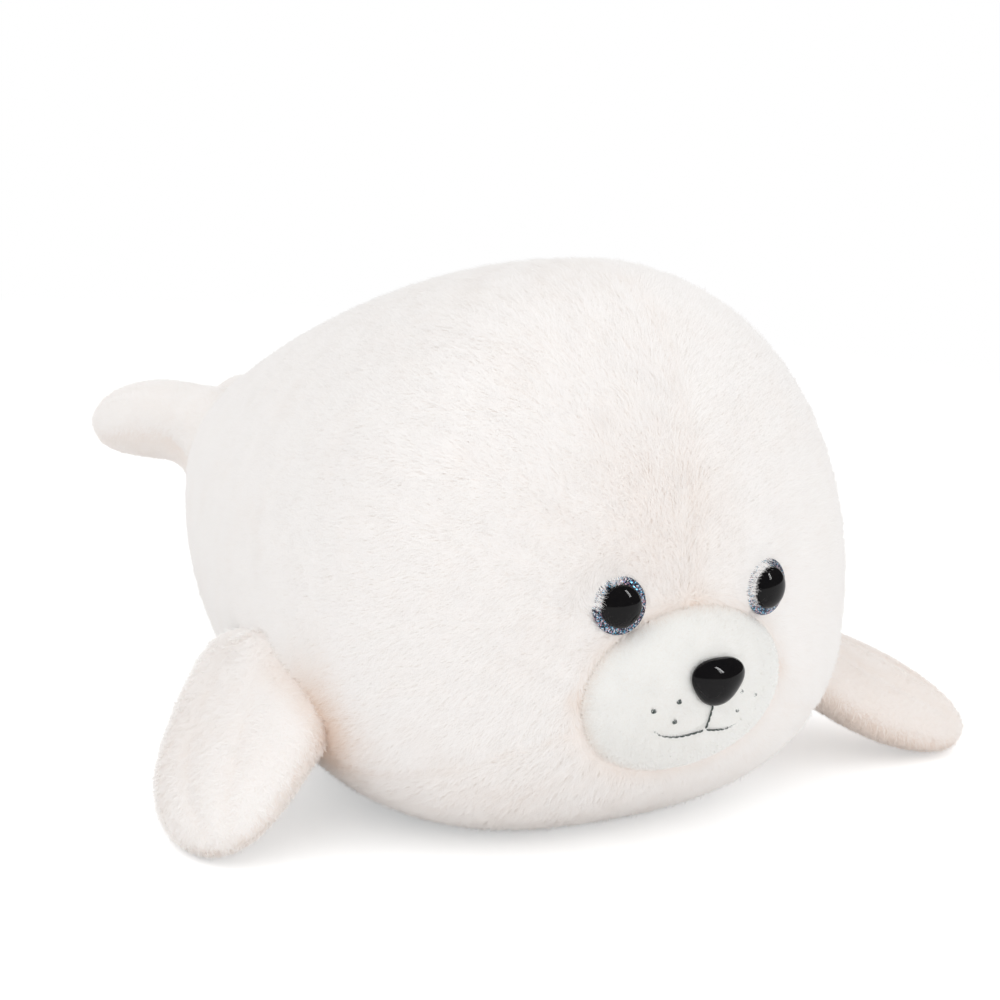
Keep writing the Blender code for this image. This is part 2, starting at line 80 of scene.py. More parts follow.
# Eyes: dome and ring, and the ring's gap, its bore, its rolled rim, the slope before that and its back
EYE_SPACING = 0.077
EYE_HEIGHT = 0.1175
EYE_RING_RADIUS = 0.0121
EYE_RING_THICKNESS = 0.0026
EYE_DOME_RADIUS = 0.0090
EYE_DOME_HEIGHT = 0.0045
EYE_SINK = 0.0018
RING_GAP = 0.0004
RING_BORE = 0.0029
RING_RIM = 0.0011
RIM_SLOPE = 0.0006
RING_BACK = 0.97

# Muzzle
MUZZLE_HALF_WIDTH = 0.051
MUZZLE_HALF_HEIGHT = 0.0365
MUZZLE_RISE = 0.014
MUZZLE_CROWN_POWER = 2.2
MUZZLE_EDGE_POWER = 0.75
EYE_CLEARANCE = 0.0022
RING_ROOM = EYE_RING_RADIUS + EYE_CLEARANCE
MUZZLE_HEIGHT = EYE_HEIGHT - (MUZZLE_HALF_HEIGHT + RING_ROOM) * math.sqrt(
    1 - (EYE_SPACING / 2 / (MUZZLE_HALF_WIDTH + RING_ROOM)) ** 2)

# Nose: place, size, the share of its outline's waves that shows, its sink and how its edge turns in
NOSE_RISE = 0.011
NOSE_HEIGHT = MUZZLE_HEIGHT + NOSE_RISE
NOSE_HALF_WIDTH = 0.0130
NOSE_HALF_HEIGHT = 0.0103
NOSE_DEPTH = 0.0082
NOSE_CORNERS = 0.11
NOSE_ROUNDING = 0.7
NOSE_SINK = 0.0014
NOSE_EDGE = 0.15
NOSE_UNDERCUT = 0.06

# Stems of the eyes and the nose: through the plush, a clearance and the washer, and on to their end
STEM_RADIUS = 0.0025
PLUSH = 0.004
WASHER_CLEARANCE = 0.0022
WASHER_THICKNESS = 0.0016
STEM_END = 0.004
STEM_LENGTH = PLUSH + WASHER_CLEARANCE + WASHER_THICKNESS + STEM_END

# Mouth thread and whisker knots. The thread's lift, radii and sinks are shares of its radius.
THREAD_RADIUS = 0.0008
THREAD_SINK = 0.38
STITCH_LENGTH = 0.0027
STITCH_LIFT = 0.55
STITCH_RADII = (0.28, 0.26)
SMILE_DEEPER = {"right": 1.6, "left": 2.8}
SMILE_DEEPENING = 1.1
MOUTH_TOP = NOSE_HEIGHT - NOSE_HALF_HEIGHT * (1 + NOSE_CORNERS)
UPRIGHT_LENGTH = 0.0110
MOUTH_FORK = MOUTH_TOP - UPRIGHT_LENGTH
MOUTH_SMILE = ((0.0010, -0.0008), (0.0055, -0.0017), (0.0130, -0.0027), (0.0200, -0.0019), (0.0252, 0.0007))
KNOT_RADIUS = 0.0013
KNOT_SINK = 0.0006
KNOT_SHALLOWER = 0.6
KNOT_SIZE = 0.85
KNOT_RIDGES = 0.09
KNOT_FLATNESS = 0.72
WHISKER_KNOTS = ((0.0168, 0.0027), (0.0272, -0.0010), (0.0168, -0.0065))

# Flippers
FRONT_FLIPPER = {
    "root_half_width": 0.051, "blade_half_width": 0.0385,
    "root_half_thickness": 0.0150, "blade_half_thickness": 0.0190, "round_from": 0.55,
}
HIND_FLIPPER = {
    "root_half_width": 0.0195, "blade_half_width": 0.0280,
    "root_half_thickness": 0.0200, "blade_half_thickness": 0.0230, "round_from": 0.44,
}
FRONT_POSES = {
    "right": {"root": (0.112, 0.043, 0.070), "bend": (0.152, 0.026, 0.038), "tip": (0.175, -0.0215, 0.0100),
              "root_across": (-0.10, 1.0, 0.0), "tip_across": (0.72, 0.69, -0.60)},
    "left": {"root": (0.112, 0.034, 0.068), "bend": (0.152, 0.009, 0.040), "tip": (0.225, -0.033, 0.0085),
             "root_across": (-0.10, 1.0, 0.0), "tip_across": (0.70, 0.71, 0.26)},
}
HIND_POSE = {"root": (0.022, 0.285, 0.098), "bend": (0.025, 0.319, 0.111), "tip": (0.042, 0.375, 0.089),
             "root_across": (1.0, 0.0, 0.0), "tip_across": (1.0, 0.0, -0.54)}
GROOVE_DEPTH = 0.0022
GROOVE_PLACE = 0.34
GROOVE_WIDTH = 0.11

# Flippers' roots: how far inside the body a front skin starts, as a share of its radius, where along its
# solid a hind one does, and how far both flare out to the body
ROOT_HIDDEN = 0.16
ROOT_FLARE = 0.0085
ROOT_FLARE_REACH = 0.0105
ROOT_FADE = 0.008
ROOT_LEVEL_SHARE = 0.3
HIND_START = -0.18
HIND_FLARE = 0.0135
HIND_FLARE_REACH = 0.022
HIND_STRAIGHT = 0.004
HIND_TUCK = 0.10

# Skins: depth under the solids' surface, thickness, and the dip along seams
SKIN_INSET = 0.0028
MUZZLE_SKIN_INSET = 0.0014
SKIN_THICKNESS = 0.0006
SEAM_DIP = 0.0009
SEAM_REACH = 0.0045
BODY_SEAM_SHARE = 0.5
FLIPPER_SEAM_SHARE = 0.4
PANEL_GAP = 0.00003
PANEL_START = 1.006
SHARP_ANGLE = math.radians(50)

# Fineness of the skins
SIDE_COLUMNS = 44
BELLY_COLUMNS = 36
BODY_ROWS = 96
BODY_CUT = 42
MUZZLE_ROWS = 30
MUZZLE_COLUMNS = 112
FLIPPER_ROWS = 44
FLIPPER_COLUMNS = 40

# Pile: blades for each square metre, and their length, width and lean
PILE_DENSITY = 2.5e6
PILE_LENGTH = 0.0068
PILE_WIDTH = 0.00060
PILE_LEAN = math.radians(67)
MUZZLE_DENSITY = 6.0e6
MUZZLE_LENGTH = 0.0032
MUZZLE_PILE = {"lean": math.radians(62), "width": 0.00040}
FLIPPER_DENSITY = 1.15 * PILE_DENSITY
FLIPPER_LENGTH = PILE_LENGTH * 0.85
FLIPPER_PILE = {"lean": PILE_LEAN + 0.09, "width": 0.00050, "ruffle": 0.6}
BELLY_DENSITY = 0.75
RESTING_DENSITY = 0.10
RESTING_HEIGHT = SKIN_INSET + 0.004

# Disorder of the pile: spreads at random, and ripples as their size and wavelength, each the sum of a few
# waves that is scaled to about 1
RIPPLE_WAVES = 8
RIPPLE_SUM = 3.4
RIPPLE_SPREAD = (0.7, 1.5)
TURN_SPREAD = 0.42
LOOSE_SPREAD = 3
FIRM_LIE = 0.7
TURN_RIPPLES = ((0.30, 0.026), (0.22, 0.008))
TILT_SPREAD = 0.08
TILT_RIPPLE = (0.05, 0.012)
LENGTH_SPREAD = (0.72, 1.15)
LENGTH_RIPPLE = (0.05, 0.009)
WIDTH_SPREAD = (0.7, 1.3)
SKIN_SHADING = 0.9

# Combing: how much of it runs down the sides, and how it turns back along the muzzle's edge and the seams
COMB_DOWN = 0.55
COMB_BACK = {"muzzle": 1.6, "seam": 0.85}
COMB_REACH = 0.005

# Shorter pile: by what share, and how far that reaches from the muzzle's edge or a seam
SHORTER_AT_MUZZLE = (0.35, 0.004)
SHORTER_AT_SEAM = (0.2, 0.003)
SHORTER_AT_EDGE = (0.15, 0.003)

# Bare places: round the rings as shares of their radius, and from where to full pile at the nose and knots
RING_HOLD = (0.82, 0.20)
RING_FADE = 0.0010
NOSE_ROOM = (0.75, 0.1)
KNOT_ROOM = (0.0010, 0.0012)
KNOT_LEAST = 0.15

# Pile round the eyes: where it stands up over a ring, as a direction in front view, and what that changes
EYE_SECTORS = {"right": (-0.60, 0.80), "left": (-0.95, 0.25)}
SECTOR_START = 0.35
SECTOR_FADE = 0.25
EYE_STAND = 0.9
EYE_STAND_REACH = 0.0065
STAND_PUSH = 4.0
STAND_DENSITY = 5.0
STAND_LENGTH = 0.34
STAND_TILT = 0.33
STAND_TURN = 0.5
STAND_WIDTH = 0.35

# Warm tints, several of them painted shade: how strong each is, and how far it reaches or from where
# Skins: how far their colour lies from the roots' painted shade towards the tips, and their tone from blade
# to blade
BODY_TIP = 0.35
MUZZLE_TIP = 0.6
BODY_BLADE = 0.5
MUZZLE_TINT = (0.25, 0.0045)
PINCH_TINT = (0.38, 0.0036)
MUZZLE_PINCHES = ((-0.0520, 0.0795), (0.0520, 0.0795), (0.0, 0.1140))
SEAM_TINT = (0.07, 0.004)
BROW_TINT = (0.12, 0.036)
BROW = (-0.014, 0.152)
# Painted shade low on the body, growing towards the floor: its strength, the height where it starts, and how
# fast it grows
LOW_PAINTED_SHADE = (0.14, 0.075)
LOW_SHADE_POWER = 1.5
# Painted shade in the folds under and in front of the front flippers' roots: where along and across a
# flipper's lower face the fold lies, and the shade's strength and reach
ARMPIT_ALONG = (0.15, 0.55)
ARMPIT_ACROSS = (-1, -0.2)
ARMPIT_PAINTED_SHADE = (0.95, 0.016)
MUZZLE_EDGE_TINT = (0.22, 0.003)
FLIPPER_EDGE_TINT = (0.12, 0.003)
# Painted shade in the flippers' front corners at their roots and in their grooves
FLIPPER_CORNER_SHADE = (0.30, 0.005)
FLIPPER_GROOVE_SHADE = (0.11, 0.07)
# Painted shade over whole flipper panels: on the undersides, and on the top of the left front flipper, which
# lies in the body's shade
FLIPPER_PAINTED_SHADE = {"front_flipper_left": {"lower": 0.42, "upper": 0.16},
                 "front_flipper_right": {"lower": 0.14, "upper": 0.0}}
HIND_PAINTED_SHADE = {"lower": 0.13, "upper": 0.0}

# Camera: where it looks, from how far, how it is turned, and its picture and focal length in pixels
CAMERA_TARGET = np.array([0.0692, 0.1495, 0.0934])
CAMERA_DISTANCE = 1.286
CAMERA_AZIMUTH = math.radians(-35.5)
CAMERA_ELEVATION = math.radians(14.0)
CAMERA_ROLL = math.radians(4.2)
PICTURE_WIDTH = 1000
FOCAL_LENGTH = 2572

# Light: the world, the floor's own glow under the camera, lamps and the window that the gloss shows
WORLD_STRENGTH = 0.845
GLOSS_STRENGTH = 0.05
FLOOR_LIFT = 0.38
FLOOR_SIZE = 12.0
LAMPS = {
    "key": {"place": (-0.7, -0.1, 1.3), "angle": math.radians(70.0), "strength": 0.65},
    "fill": {"place": (0.1, -1.2, 0.0), "angle": math.radians(60.0), "strength": 0.82},
}
WINDOW_PLACE = np.array([1.30, -2.05, 1.75])
WINDOW_TURN = math.radians(42)
WINDOW_PANES = ((-0.16, 0.07), (0.04, 0.13))
WINDOW_HEIGHT = 1.5
WINDOW_STRENGTH = 160.0

# Colours, linear red, green and blue
CREAM_TIP = (0.950, 0.935, 0.925)
# Pile is darker and warmer at its roots than at its tips: a painted shade deep in the pile
CREAM_SHADED_ROOT = (0.915, 0.875, 0.845)
# Warm tan of the tints along seams and of the painted shade
WARM_TINT_AND_SHADE = (0.800, 0.640, 0.530)
WHITE_TIP = (0.935, 0.940, 0.928)
WHITE_SHADED_ROOT = (0.900, 0.875, 0.840)
BLACK = (0.004, 0.004, 0.005)
SMEARED_BLACK = (0.009, 0.008, 0.008)
THREAD_COLOURS = ((0.022, 0.032, 0.030), (0.085, 0.110, 0.100))
FILLING_COLOURS = ((0.78, 0.77, 0.75), (0.90, 0.90, 0.89))
WASHER_COLOURS = ((0.68, 0.68, 0.66), (0.73, 0.73, 0.71))
FOIL_STOPS = ((0.0, (0.010, 0.012, 0.022)), (0.26, (0.035, 0.045, 0.085)), (0.42, (0.12, 0.42, 0.62)),
              (0.56, (0.10, 0.09, 0.16)), (0.66, (0.62, 0.36, 0.44)), (0.78, (0.20, 0.24, 0.34)),
              (0.88, (0.75, 0.78, 0.85)))

# The frame's place for x = 0 and y = 0
LEFT_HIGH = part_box("body_side_left")[1]
RIGHT_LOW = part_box("body_side_right")[0]
SHIFT = np.array([(LEFT_HIGH.x + RIGHT_LOW.x) / 2, LEFT_HIGH.y - BODY_REAR * math.cos(CLOSING_ANGLE), 0.0])


def section(theta):
    """Sideways and upward reach of a body section at an angle from its crown: a circle above and a
    superellipse below."""
    power = np.where(np.cos(theta) < 0, 2 / BELLY_SQUARENESS, 1.0)
    side = np.sign(np.sin(theta)) * np.abs(np.sin(theta)) ** power
    up = np.sign(np.cos(theta)) * np.abs(np.cos(theta)) ** power
    return side, up


def body_size(front, rear):
    """Share of the widest section that the body's top and belly have, for a share of its length ahead or
    behind."""
    ahead = np.sqrt(1 - front ** FRONT_POWER)
    taper = 1 - REAR_TAPER * rear ** REAR_TAPER_POWER
    top = np.where(front > 0, ahead, taper * np.sqrt(1 - rear ** REAR_POWER))
    belly = np.where(front > 0, ahead, np.sqrt(1 - rear ** BELLY_POWER))
    return top, belly


def egg(psi, theta, inset=0.0):
    """Point on the body: psi runs from the front pole to the rear one and theta turns from the crown."""
    psi, theta, inset = np.broadcast_arrays(psi, theta, inset)
    front = np.clip(np.cos(psi), 0, 1)
    rear = np.clip(-np.cos(psi), 0, 1)
    top, belly = body_size(front, rear)
    side, up = section(theta)
    x = (BODY_HALF_WIDTH - inset) * top * side
    y = np.where(front > 0, -(BODY_FRONT - inset) * front, (BODY_REAR - inset) * rear)
    z = POLE_HEIGHT + np.where(up < 0, (BELLY_DROP - inset) * belly, (CROWN_RISE - inset) * top) * up
    return np.stack([x, y, np.maximum(z, inset)], -1)


def outside_body(points):
    """Signed share of the body's radius by which points lie outside it, from the same superellipses."""
    x, y, z = np.moveaxis(points, -1, 0)
    front, rear = np.clip(-y / BODY_FRONT, 0, 1), np.clip(y / BODY_REAR, 0, 1)
    top, belly = (np.maximum(size, 1e-6) for size in body_size(front, rear))
    high = np.hypot(x / (BODY_HALF_WIDTH * top), (z - POLE_HEIGHT) / (CROWN_RISE * top))
    across = np.abs(x) / (BODY_HALF_WIDTH * top)
    down = np.abs(z - POLE_HEIGHT) / (BELLY_DROP * belly)
    low = (across ** BELLY_SQUARENESS + down ** BELLY_SQUARENESS) ** (1 / BELLY_SQUARENESS)
    return np.where(z > POLE_HEIGHT, high, low) - 1


def muzzle_reach(theta):
    """Radius of the muzzle's oval edge, as a share of the widest section: where the ray meets the ellipse."""
    side, up = section(theta)
    across = BODY_HALF_WIDTH * side / MUZZLE_HALF_WIDTH
    upward = np.where(up < 0, BELLY_DROP, CROWN_RISE) * up / MUZZLE_HALF_HEIGHT
    offset = (POLE_HEIGHT - MUZZLE_HEIGHT) / MUZZLE_HALF_HEIGHT
    square = across ** 2 + upward ** 2
    linear = upward * offset
    return (np.sqrt(linear ** 2 + square * (1 - offset ** 2)) - linear) / square


def front_psi(size):
    """Angle from the front pole at which the body has this share of its widest section."""
    return np.arccos((1 - size ** 2) ** (1 / FRONT_POWER))


def muzzle(share, theta, inset=0.0):
    """Point on the muzzle: the egg's front raised by a dome that falls to nothing at its oval edge."""
    share, theta, inset = np.broadcast_arrays(share, theta, inset)
    points = egg(front_psi(share * muzzle_reach(theta)), theta, inset)
    points[..., 1] -= MUZZLE_RISE * (1 - np.minimum(share, 1) ** MUZZLE_CROWN_POWER) ** MUZZLE_EDGE_POWER
    return points


def face_point(x, z):
    """Point on the outer surface of the face at a place in front view, for arrays of places."""
    x, z = np.broadcast_arrays(np.asarray(x, float), np.asarray(z, float))
    low = z < POLE_HEIGHT
    power = np.where(low, BELLY_SQUARENESS, 2.0)
    across = np.abs(x) / BODY_HALF_WIDTH
    upward = np.abs(z - POLE_HEIGHT) / np.where(low, BELLY_DROP, CROWN_RISE)
    size = (across ** power + upward ** power) ** (1 / power)
    sine = (across / size) ** (power / 2)
    cosine = (upward / size) ** (power / 2)
    theta = np.arctan2(np.copysign(sine, x), np.where(low, -cosine, cosine))
    share = size / muzzle_reach(theta)
    on_muzzle = muzzle(np.minimum(share, 1), theta)
    return np.where((share < 1)[..., None], on_muzzle, egg(front_psi(size), theta))


def face_normal(x, z):
    """Direction out of the face at places in front view, from differences over a few millimetres."""
    step = 0.003
    sideways = face_point(x + step, z) - face_point(x - step, z)
    upward = face_point(x, z + step) - face_point(x, z - step)
    return unit(np.cross(sideways, upward))


def unit(vectors):
    """Vectors scaled to length 1."""
    return vectors / np.maximum(np.linalg.norm(vectors, axis=-1, keepdims=True), 1e-12)


def dotted(a, b):
    """Scalar products, kept as a last axis of one."""
    return (a * b).sum(-1, keepdims=True)


def distance(points, place):
    """Distances of points from a place, or from a place for each."""
    return np.linalg.norm(points - place, axis=-1)


def bell(away, reach):
    """Bell curve: 1 at no distance, about a third at the reach and almost nothing at twice the reach."""
    return np.exp(-(away / reach) ** 2)


def ripple(points, wavelength, seed):
    """Smooth noise, mostly from -1 to 1: a sum of sine waves in random directions, all of about one
    wavelength."""
    rng = np.random.default_rng(seed)
    ways = unit(rng.normal(size=(RIPPLE_WAVES, 3)))
    waves = ways * (2 * math.pi / wavelength) * rng.uniform(*RIPPLE_SPREAD, (RIPPLE_WAVES, 1))
    phases = rng.uniform(0, 2 * math.pi, RIPPLE_WAVES)
    return np.sin(points @ waves.T + phases).sum(-1) / RIPPLE_SUM


def grooves(across, width):
    """How much of the two finger grooves is at places across a flipper: two bell curves."""
    return sum(bell(across - place, width) for place in (-GROOVE_PLACE, GROOVE_PLACE))


def paddle(pose, sizes, along, across, face, side, inset=0.0):
    """Points of one face of a flipper: ellipses of a changing size carried along a quadratic curve, with a
    round end and two grooves between its fingers. along has a row for each step and a column for each
    place across."""
    root, bend, tip = (np.array(pose[key]) for key in ("root", "bend", "tip"))
    length = np.linalg.norm(bend - root) + np.linalg.norm(tip - bend)
    s = (along * (1 - inset / length))[..., None]
    centre = (1 - s) ** 2 * root + 2 * s * (1 - s) * bend + s ** 2 * tip
    forward = unit(2 * (1 - s) * (bend - root) + 2 * s * (tip - bend))
    width = [unit(np.array(pose[key])) for key in ("root_across", "tip_across")]
    sideways = width[0] * (1 - s) + width[1] * s
    sideways = unit(sideways - dotted(sideways, forward) * forward)
    upward = np.cross(sideways, forward)
    upward *= np.sign(upward[..., 2].sum())

    beyond = np.clip((along - sizes["round_from"]) / (1 - sizes["round_from"]), 0, 1)
    end = np.sqrt(1 - beyond ** 2)
    blend = along ** 2 * (3 - 2 * along)
    half_width = (sizes["root_half_width"] * (1 - blend) + sizes["blade_half_width"] * blend - inset) * end
    thickness = sizes["root_half_thickness"] * (1 - blend) + sizes["blade_half_thickness"] * blend
    bulge = np.sqrt(1 - across ** 2) * (thickness - inset) * end ** 0.8
    bulge = bulge - GROOVE_DEPTH * grooves(across, GROOVE_WIDTH) * blend * end
    points = centre + sideways * (half_width * across)[..., None] + face * upward * bulge[..., None]
    return points * (side, 1, 1)


def grid_faces(rows, columns, start, closed, flip=False):
    """Quads of a grid of vertices numbered row by row, closed if its last column meets its first."""
    i, j = np.meshgrid(np.arange(rows - 1), np.arange(columns if closed else columns - 1), indexing="ij")
    here, after = i * columns + j, i * columns + (j + 1) % columns
    quads = np.stack([here, after, after + columns, here + columns], -1).reshape(-1, 4) + start
    return quads[:, ::-1] if flip else quads


def linked(name, data):
    """A new object of the scene, made from its data."""
    made = bpy.data.objects.new(name, data)
    bpy.context.scene.collection.objects.link(made)
    return made


def new_object(name, mesh, finish):
    """An object at the origin that rides with the seal and wears one material."""
    mesh.materials.append(finish)
    made = linked(name, mesh)
    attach(made, "root")
    return made


def solid_piece(name, points, faces, finish, attribute=None):
    """Object from points and quads: doubles merged, faces pointing out, shaded smooth."""
    mesh = bpy.data.meshes.new(name)
    mesh.from_pydata((points.reshape(-1, 3) + SHIFT).tolist(), [], faces.tolist())
    if attribute is not None:
        layer = mesh.attributes.new("pile", "FLOAT_COLOR", "POINT")
        layer.data.foreach_set("color", attribute.astype(np.float32).ravel())
    shape = bmesh.new()
    shape.from_mesh(mesh)
    bmesh.ops.remove_doubles(shape, verts=shape.verts, dist=1e-6)
    bmesh.ops.recalc_face_normals(shape, faces=shape.faces)
    shape.to_mesh(mesh)
    shape.free()
    mesh.shade_smooth()
    mesh.set_sharp_from_angle(angle=SHARP_ANGLE)
    return new_object(name, mesh, finish)


def skin_between(name, outer, inner, finish, closed, tints):
    """Thin closed skin between two grids, joined along their edges, with its tints as an attribute."""
    rows, columns, _ = outer.shape
    count = rows * columns
    faces = [grid_faces(rows, columns, 0, closed), grid_faces(rows, columns, count, closed, flip=True)]
    edge = [(rows - 1) * columns + j for j in range(columns)]
    if closed:
        edge.append(edge[0])
    else:
        edge += [i * columns + columns - 1 for i in range(rows - 2, -1, -1)]
        edge += list(range(columns - 2, -1, -1)) + [i * columns for i in range(1, rows)]
    edge = np.array(edge)
    faces.append(np.stack([edge[:-1], edge[1:], edge[1:] + count, edge[:-1] + count], -1))
    points = np.concatenate([outer.reshape(-1, 3), inner.reshape(-1, 3)])
    both_tints = np.concatenate([tints.reshape(-1, 4)] * 2)
    return solid_piece(name, points, np.concatenate(faces), finish, both_tints)


def grid_normals(grid, outward):
    """Unit normals of a grid surface from its differences, turned to the side that outward points to."""
    normals = unit(np.cross(np.gradient(grid, axis=0), np.gradient(grid, axis=1)))
    flat = np.linalg.norm(normals, axis=-1) < 0.5
    normals[flat] = unit(outward)[flat]
    return normals * np.sign(dotted(normals, outward) + 1e-9)


def scatter(grid, density, rng):
    """Places spread at random but evenly over a grid surface, as rows and columns with fractions."""
    diagonals = grid[1:, 1:] - grid[:-1, :-1], grid[1:, :-1] - grid[:-1, 1:]
    area = np.linalg.norm(np.cross(*diagonals), axis=-1) / 2
    total = np.cumsum((area * density).ravel())
    steps = np.arange(int(total[-1])) + rng.random(int(total[-1]))
    cell = np.searchsorted(total, np.minimum(steps, total[-1] - 1e-6))
    row, column = np.divmod(cell, area.shape[1])
    return row + rng.random(len(cell)), column + rng.random(len(cell))


def at(grid, row, column):
    """Values of a grid at rows and columns with fractions, blended between the four corners round each."""
    i, j = np.floor(row).astype(int), np.floor(column).astype(int)
    shape = (-1,) + (1,) * (grid.ndim - 2)
    u, v = (row - i).reshape(shape), (column - j).reshape(shape)
    return ((grid[i, j] * (1 - v) + grid[i, j + 1] * v) * (1 - u)
            + (grid[i + 1, j] * (1 - v) + grid[i + 1, j + 1] * v) * u)


def pile(name, surface, finish, lengths, density, seed, lean=PILE_LEAN, width=PILE_WIDTH, ruffle=1.0):
    """Pile of blades on a skin, each a narrow triangle from its root to its tip.

    A blade leans from the skin's normal towards the lie of the pile, turned a little at random and by
    ripples that gather neighbours into tufts, and more where the lie is weak. Where the pile stands up, its
    blades lean less and are narrower. Their shading normal is mostly the skin's.
    """
    rng = np.random.default_rng(seed)
    row, column = scatter(surface["grid"], density, rng)
    root = at(surface["grid"], row, column)
    normal = unit(at(surface["normals"], row, column))
    lie = at(surface["lie"], row, column)
    lie = lie - dotted(lie, normal) * normal
    loose = np.clip(1 - np.linalg.norm(lie, axis=1) / FIRM_LIE, 0, 1)
    lie = unit(lie)
    tint = at(surface["tints"], row, column)
    length = at(lengths[..., None], row, column)[:, 0] if np.ndim(lengths) else np.full(len(root), lengths)

    def rippled(size, wavelength, number):
        return size * ripple(root, wavelength, seed + number)

    coarse, fine = TURN_RIPPLES
    wander = rng.normal(0, TURN_SPREAD, len(root)) * (1 + LOOSE_SPREAD * loose)
    turn = ruffle * (wander + rippled(*coarse, 1) + rippled(*fine, 2))
    tilt = lean + ruffle * (rng.normal(0, TILT_SPREAD, len(root)) + rippled(*TILT_RIPPLE, 3))
    if "stand" in surface:
        stand = at(surface["stand"][..., None], row, column)[:, 0]
        tilt = tilt * (1 - STAND_TILT * stand)
        turn = turn * (1 - STAND_TURN * stand)
        width = width * (1 - STAND_WIDTH * stand)
    beside = np.cross(normal, lie)
    way = lie * np.cos(turn)[:, None] + beside * np.sin(turn)[:, None]
    length = length * rng.uniform(*LENGTH_SPREAD, len(root)) * (1 + rippled(*LENGTH_RIPPLE, 4))
    blade = normal * np.cos(tilt)[:, None] + way * np.sin(tilt)[:, None]
    across = unit(np.cross(normal, blade)) * (width / 2 * rng.uniform(*WIDTH_SPREAD, len(root)))[:, None]
    points = np.stack([root - across, root + across, root + blade * length[:, None]], 1)

    facing = np.cross(points[:, 1] - points[:, 0], points[:, 2] - points[:, 0])
    outwards = dotted(facing, normal)
    shading = unit(SKIN_SHADING * normal + (1 - SKIN_SHADING) * unit(facing * np.sign(outwards)))
    wrong = outwards[:, 0] < 0
    points[wrong] = points[wrong][:, [1, 0, 2]]

    colours = np.ones((len(root), 3, 4), np.float32)
    colours[..., 0] = (0.0, 0.0, 1.0)
    colours[..., 1] = tint[:, 1:2]
    colours[..., 2] = rng.random((len(root), 1))
    return blades(name, points, shading, colours, finish)


def blades(name, points, shading, colours, finish):
    """Object of loose triangles with a shading normal for each and a colour attribute at each corner."""
    count = len(points)
    mesh = bpy.data.meshes.new(name)
    mesh.vertices.add(3 * count)
    mesh.vertices.foreach_set("co", (points + SHIFT).astype(np.float32).ravel())
    mesh.loops.add(3 * count)
    mesh.loops.foreach_set("vertex_index", np.arange(3 * count, dtype=np.int32))
    mesh.polygons.add(count)
    mesh.polygons.foreach_set("loop_start", np.arange(0, 3 * count, 3, dtype=np.int32))
    mesh.update(calc_edges=True)
    layer = mesh.attributes.new("pile", "FLOAT_COLOR", "POINT")
    layer.data.foreach_set("color", colours.ravel())
    mesh.shade_smooth()
    mesh.normals_split_custom_set_from_vertices(np.repeat(shading, 3, axis=0).astype(np.float32))
    return new_object(name, mesh, finish)


def seam_dip(to_seam):
    """How far cloth dips at a distance from a seam: a bell curve."""
    return SEAM_DIP * bell(to_seam, SEAM_REACH)


def panel_surface(first, last, columns, down):
    """Body panel between two seam angles, from the muzzle's edge to where the seams meet. Its pile is
    combed rearward, and on the sides downward too, where down is the way that theta turns."""
    theta = np.linspace(first, last, columns + 1)[None, :]
    edge = front_psi(muzzle_reach(theta) * PANEL_START)
    share = np.linspace(0, 1, BODY_ROWS + 1)[:, None]
    psi = edge + (math.pi - CLOSING_ANGLE - edge) * share
    theta = np.broadcast_to(theta, psi.shape)
    plain = egg(psi, theta)
    radius = np.linalg.norm((plain - (0, 0, POLE_HEIGHT))[..., ::2], axis=-1)
    to_seam = np.minimum(theta - first, last - theta) * radius
    to_muzzle = distance(plain, plain[:1])
    dip = np.maximum(seam_dip(to_seam) * BODY_SEAM_SHARE, seam_dip(to_muzzle))
    gap = PANEL_GAP / np.maximum(radius, 0.002)
    theta = np.clip(theta, first + gap, last - gap)
    outer = egg(psi, theta, SKIN_INSET + dip)
    inner = egg(psi, theta, SKIN_INSET + SKIN_THICKNESS + dip)

    outward = egg(psi, theta) - egg(psi, theta, 0.004)
    normals = grid_normals(outer, outward + 1e-6 * plain)
    rearward, around = (unit(np.gradient(outer, axis=axis)) for axis in (0, 1))
    combed = (rearward * (1 - COMB_BACK["muzzle"] * bell(to_muzzle, COMB_REACH))[..., None]
              + down * around * (COMB_DOWN - COMB_BACK["seam"] * bell(to_seam, COMB_REACH))[..., None])
    lie, stand = pressed_by_eyes(outer, combed)
    shorter = [share * bell(away, reach) for away, (share, reach) in
               ((to_muzzle, SHORTER_AT_MUZZLE), (to_seam, SHORTER_AT_SEAM))]
    lengths = PILE_LENGTH * (1 - shorter[0] - shorter[1])
    return {"grid": outer, "inner": inner, "normals": normals, "lie": lie,
            "tints": panel_tints_and_shade(plain, outer, to_muzzle, to_seam),
            "lengths": lengths * (1 + STAND_LENGTH * stand), "stand": stand}


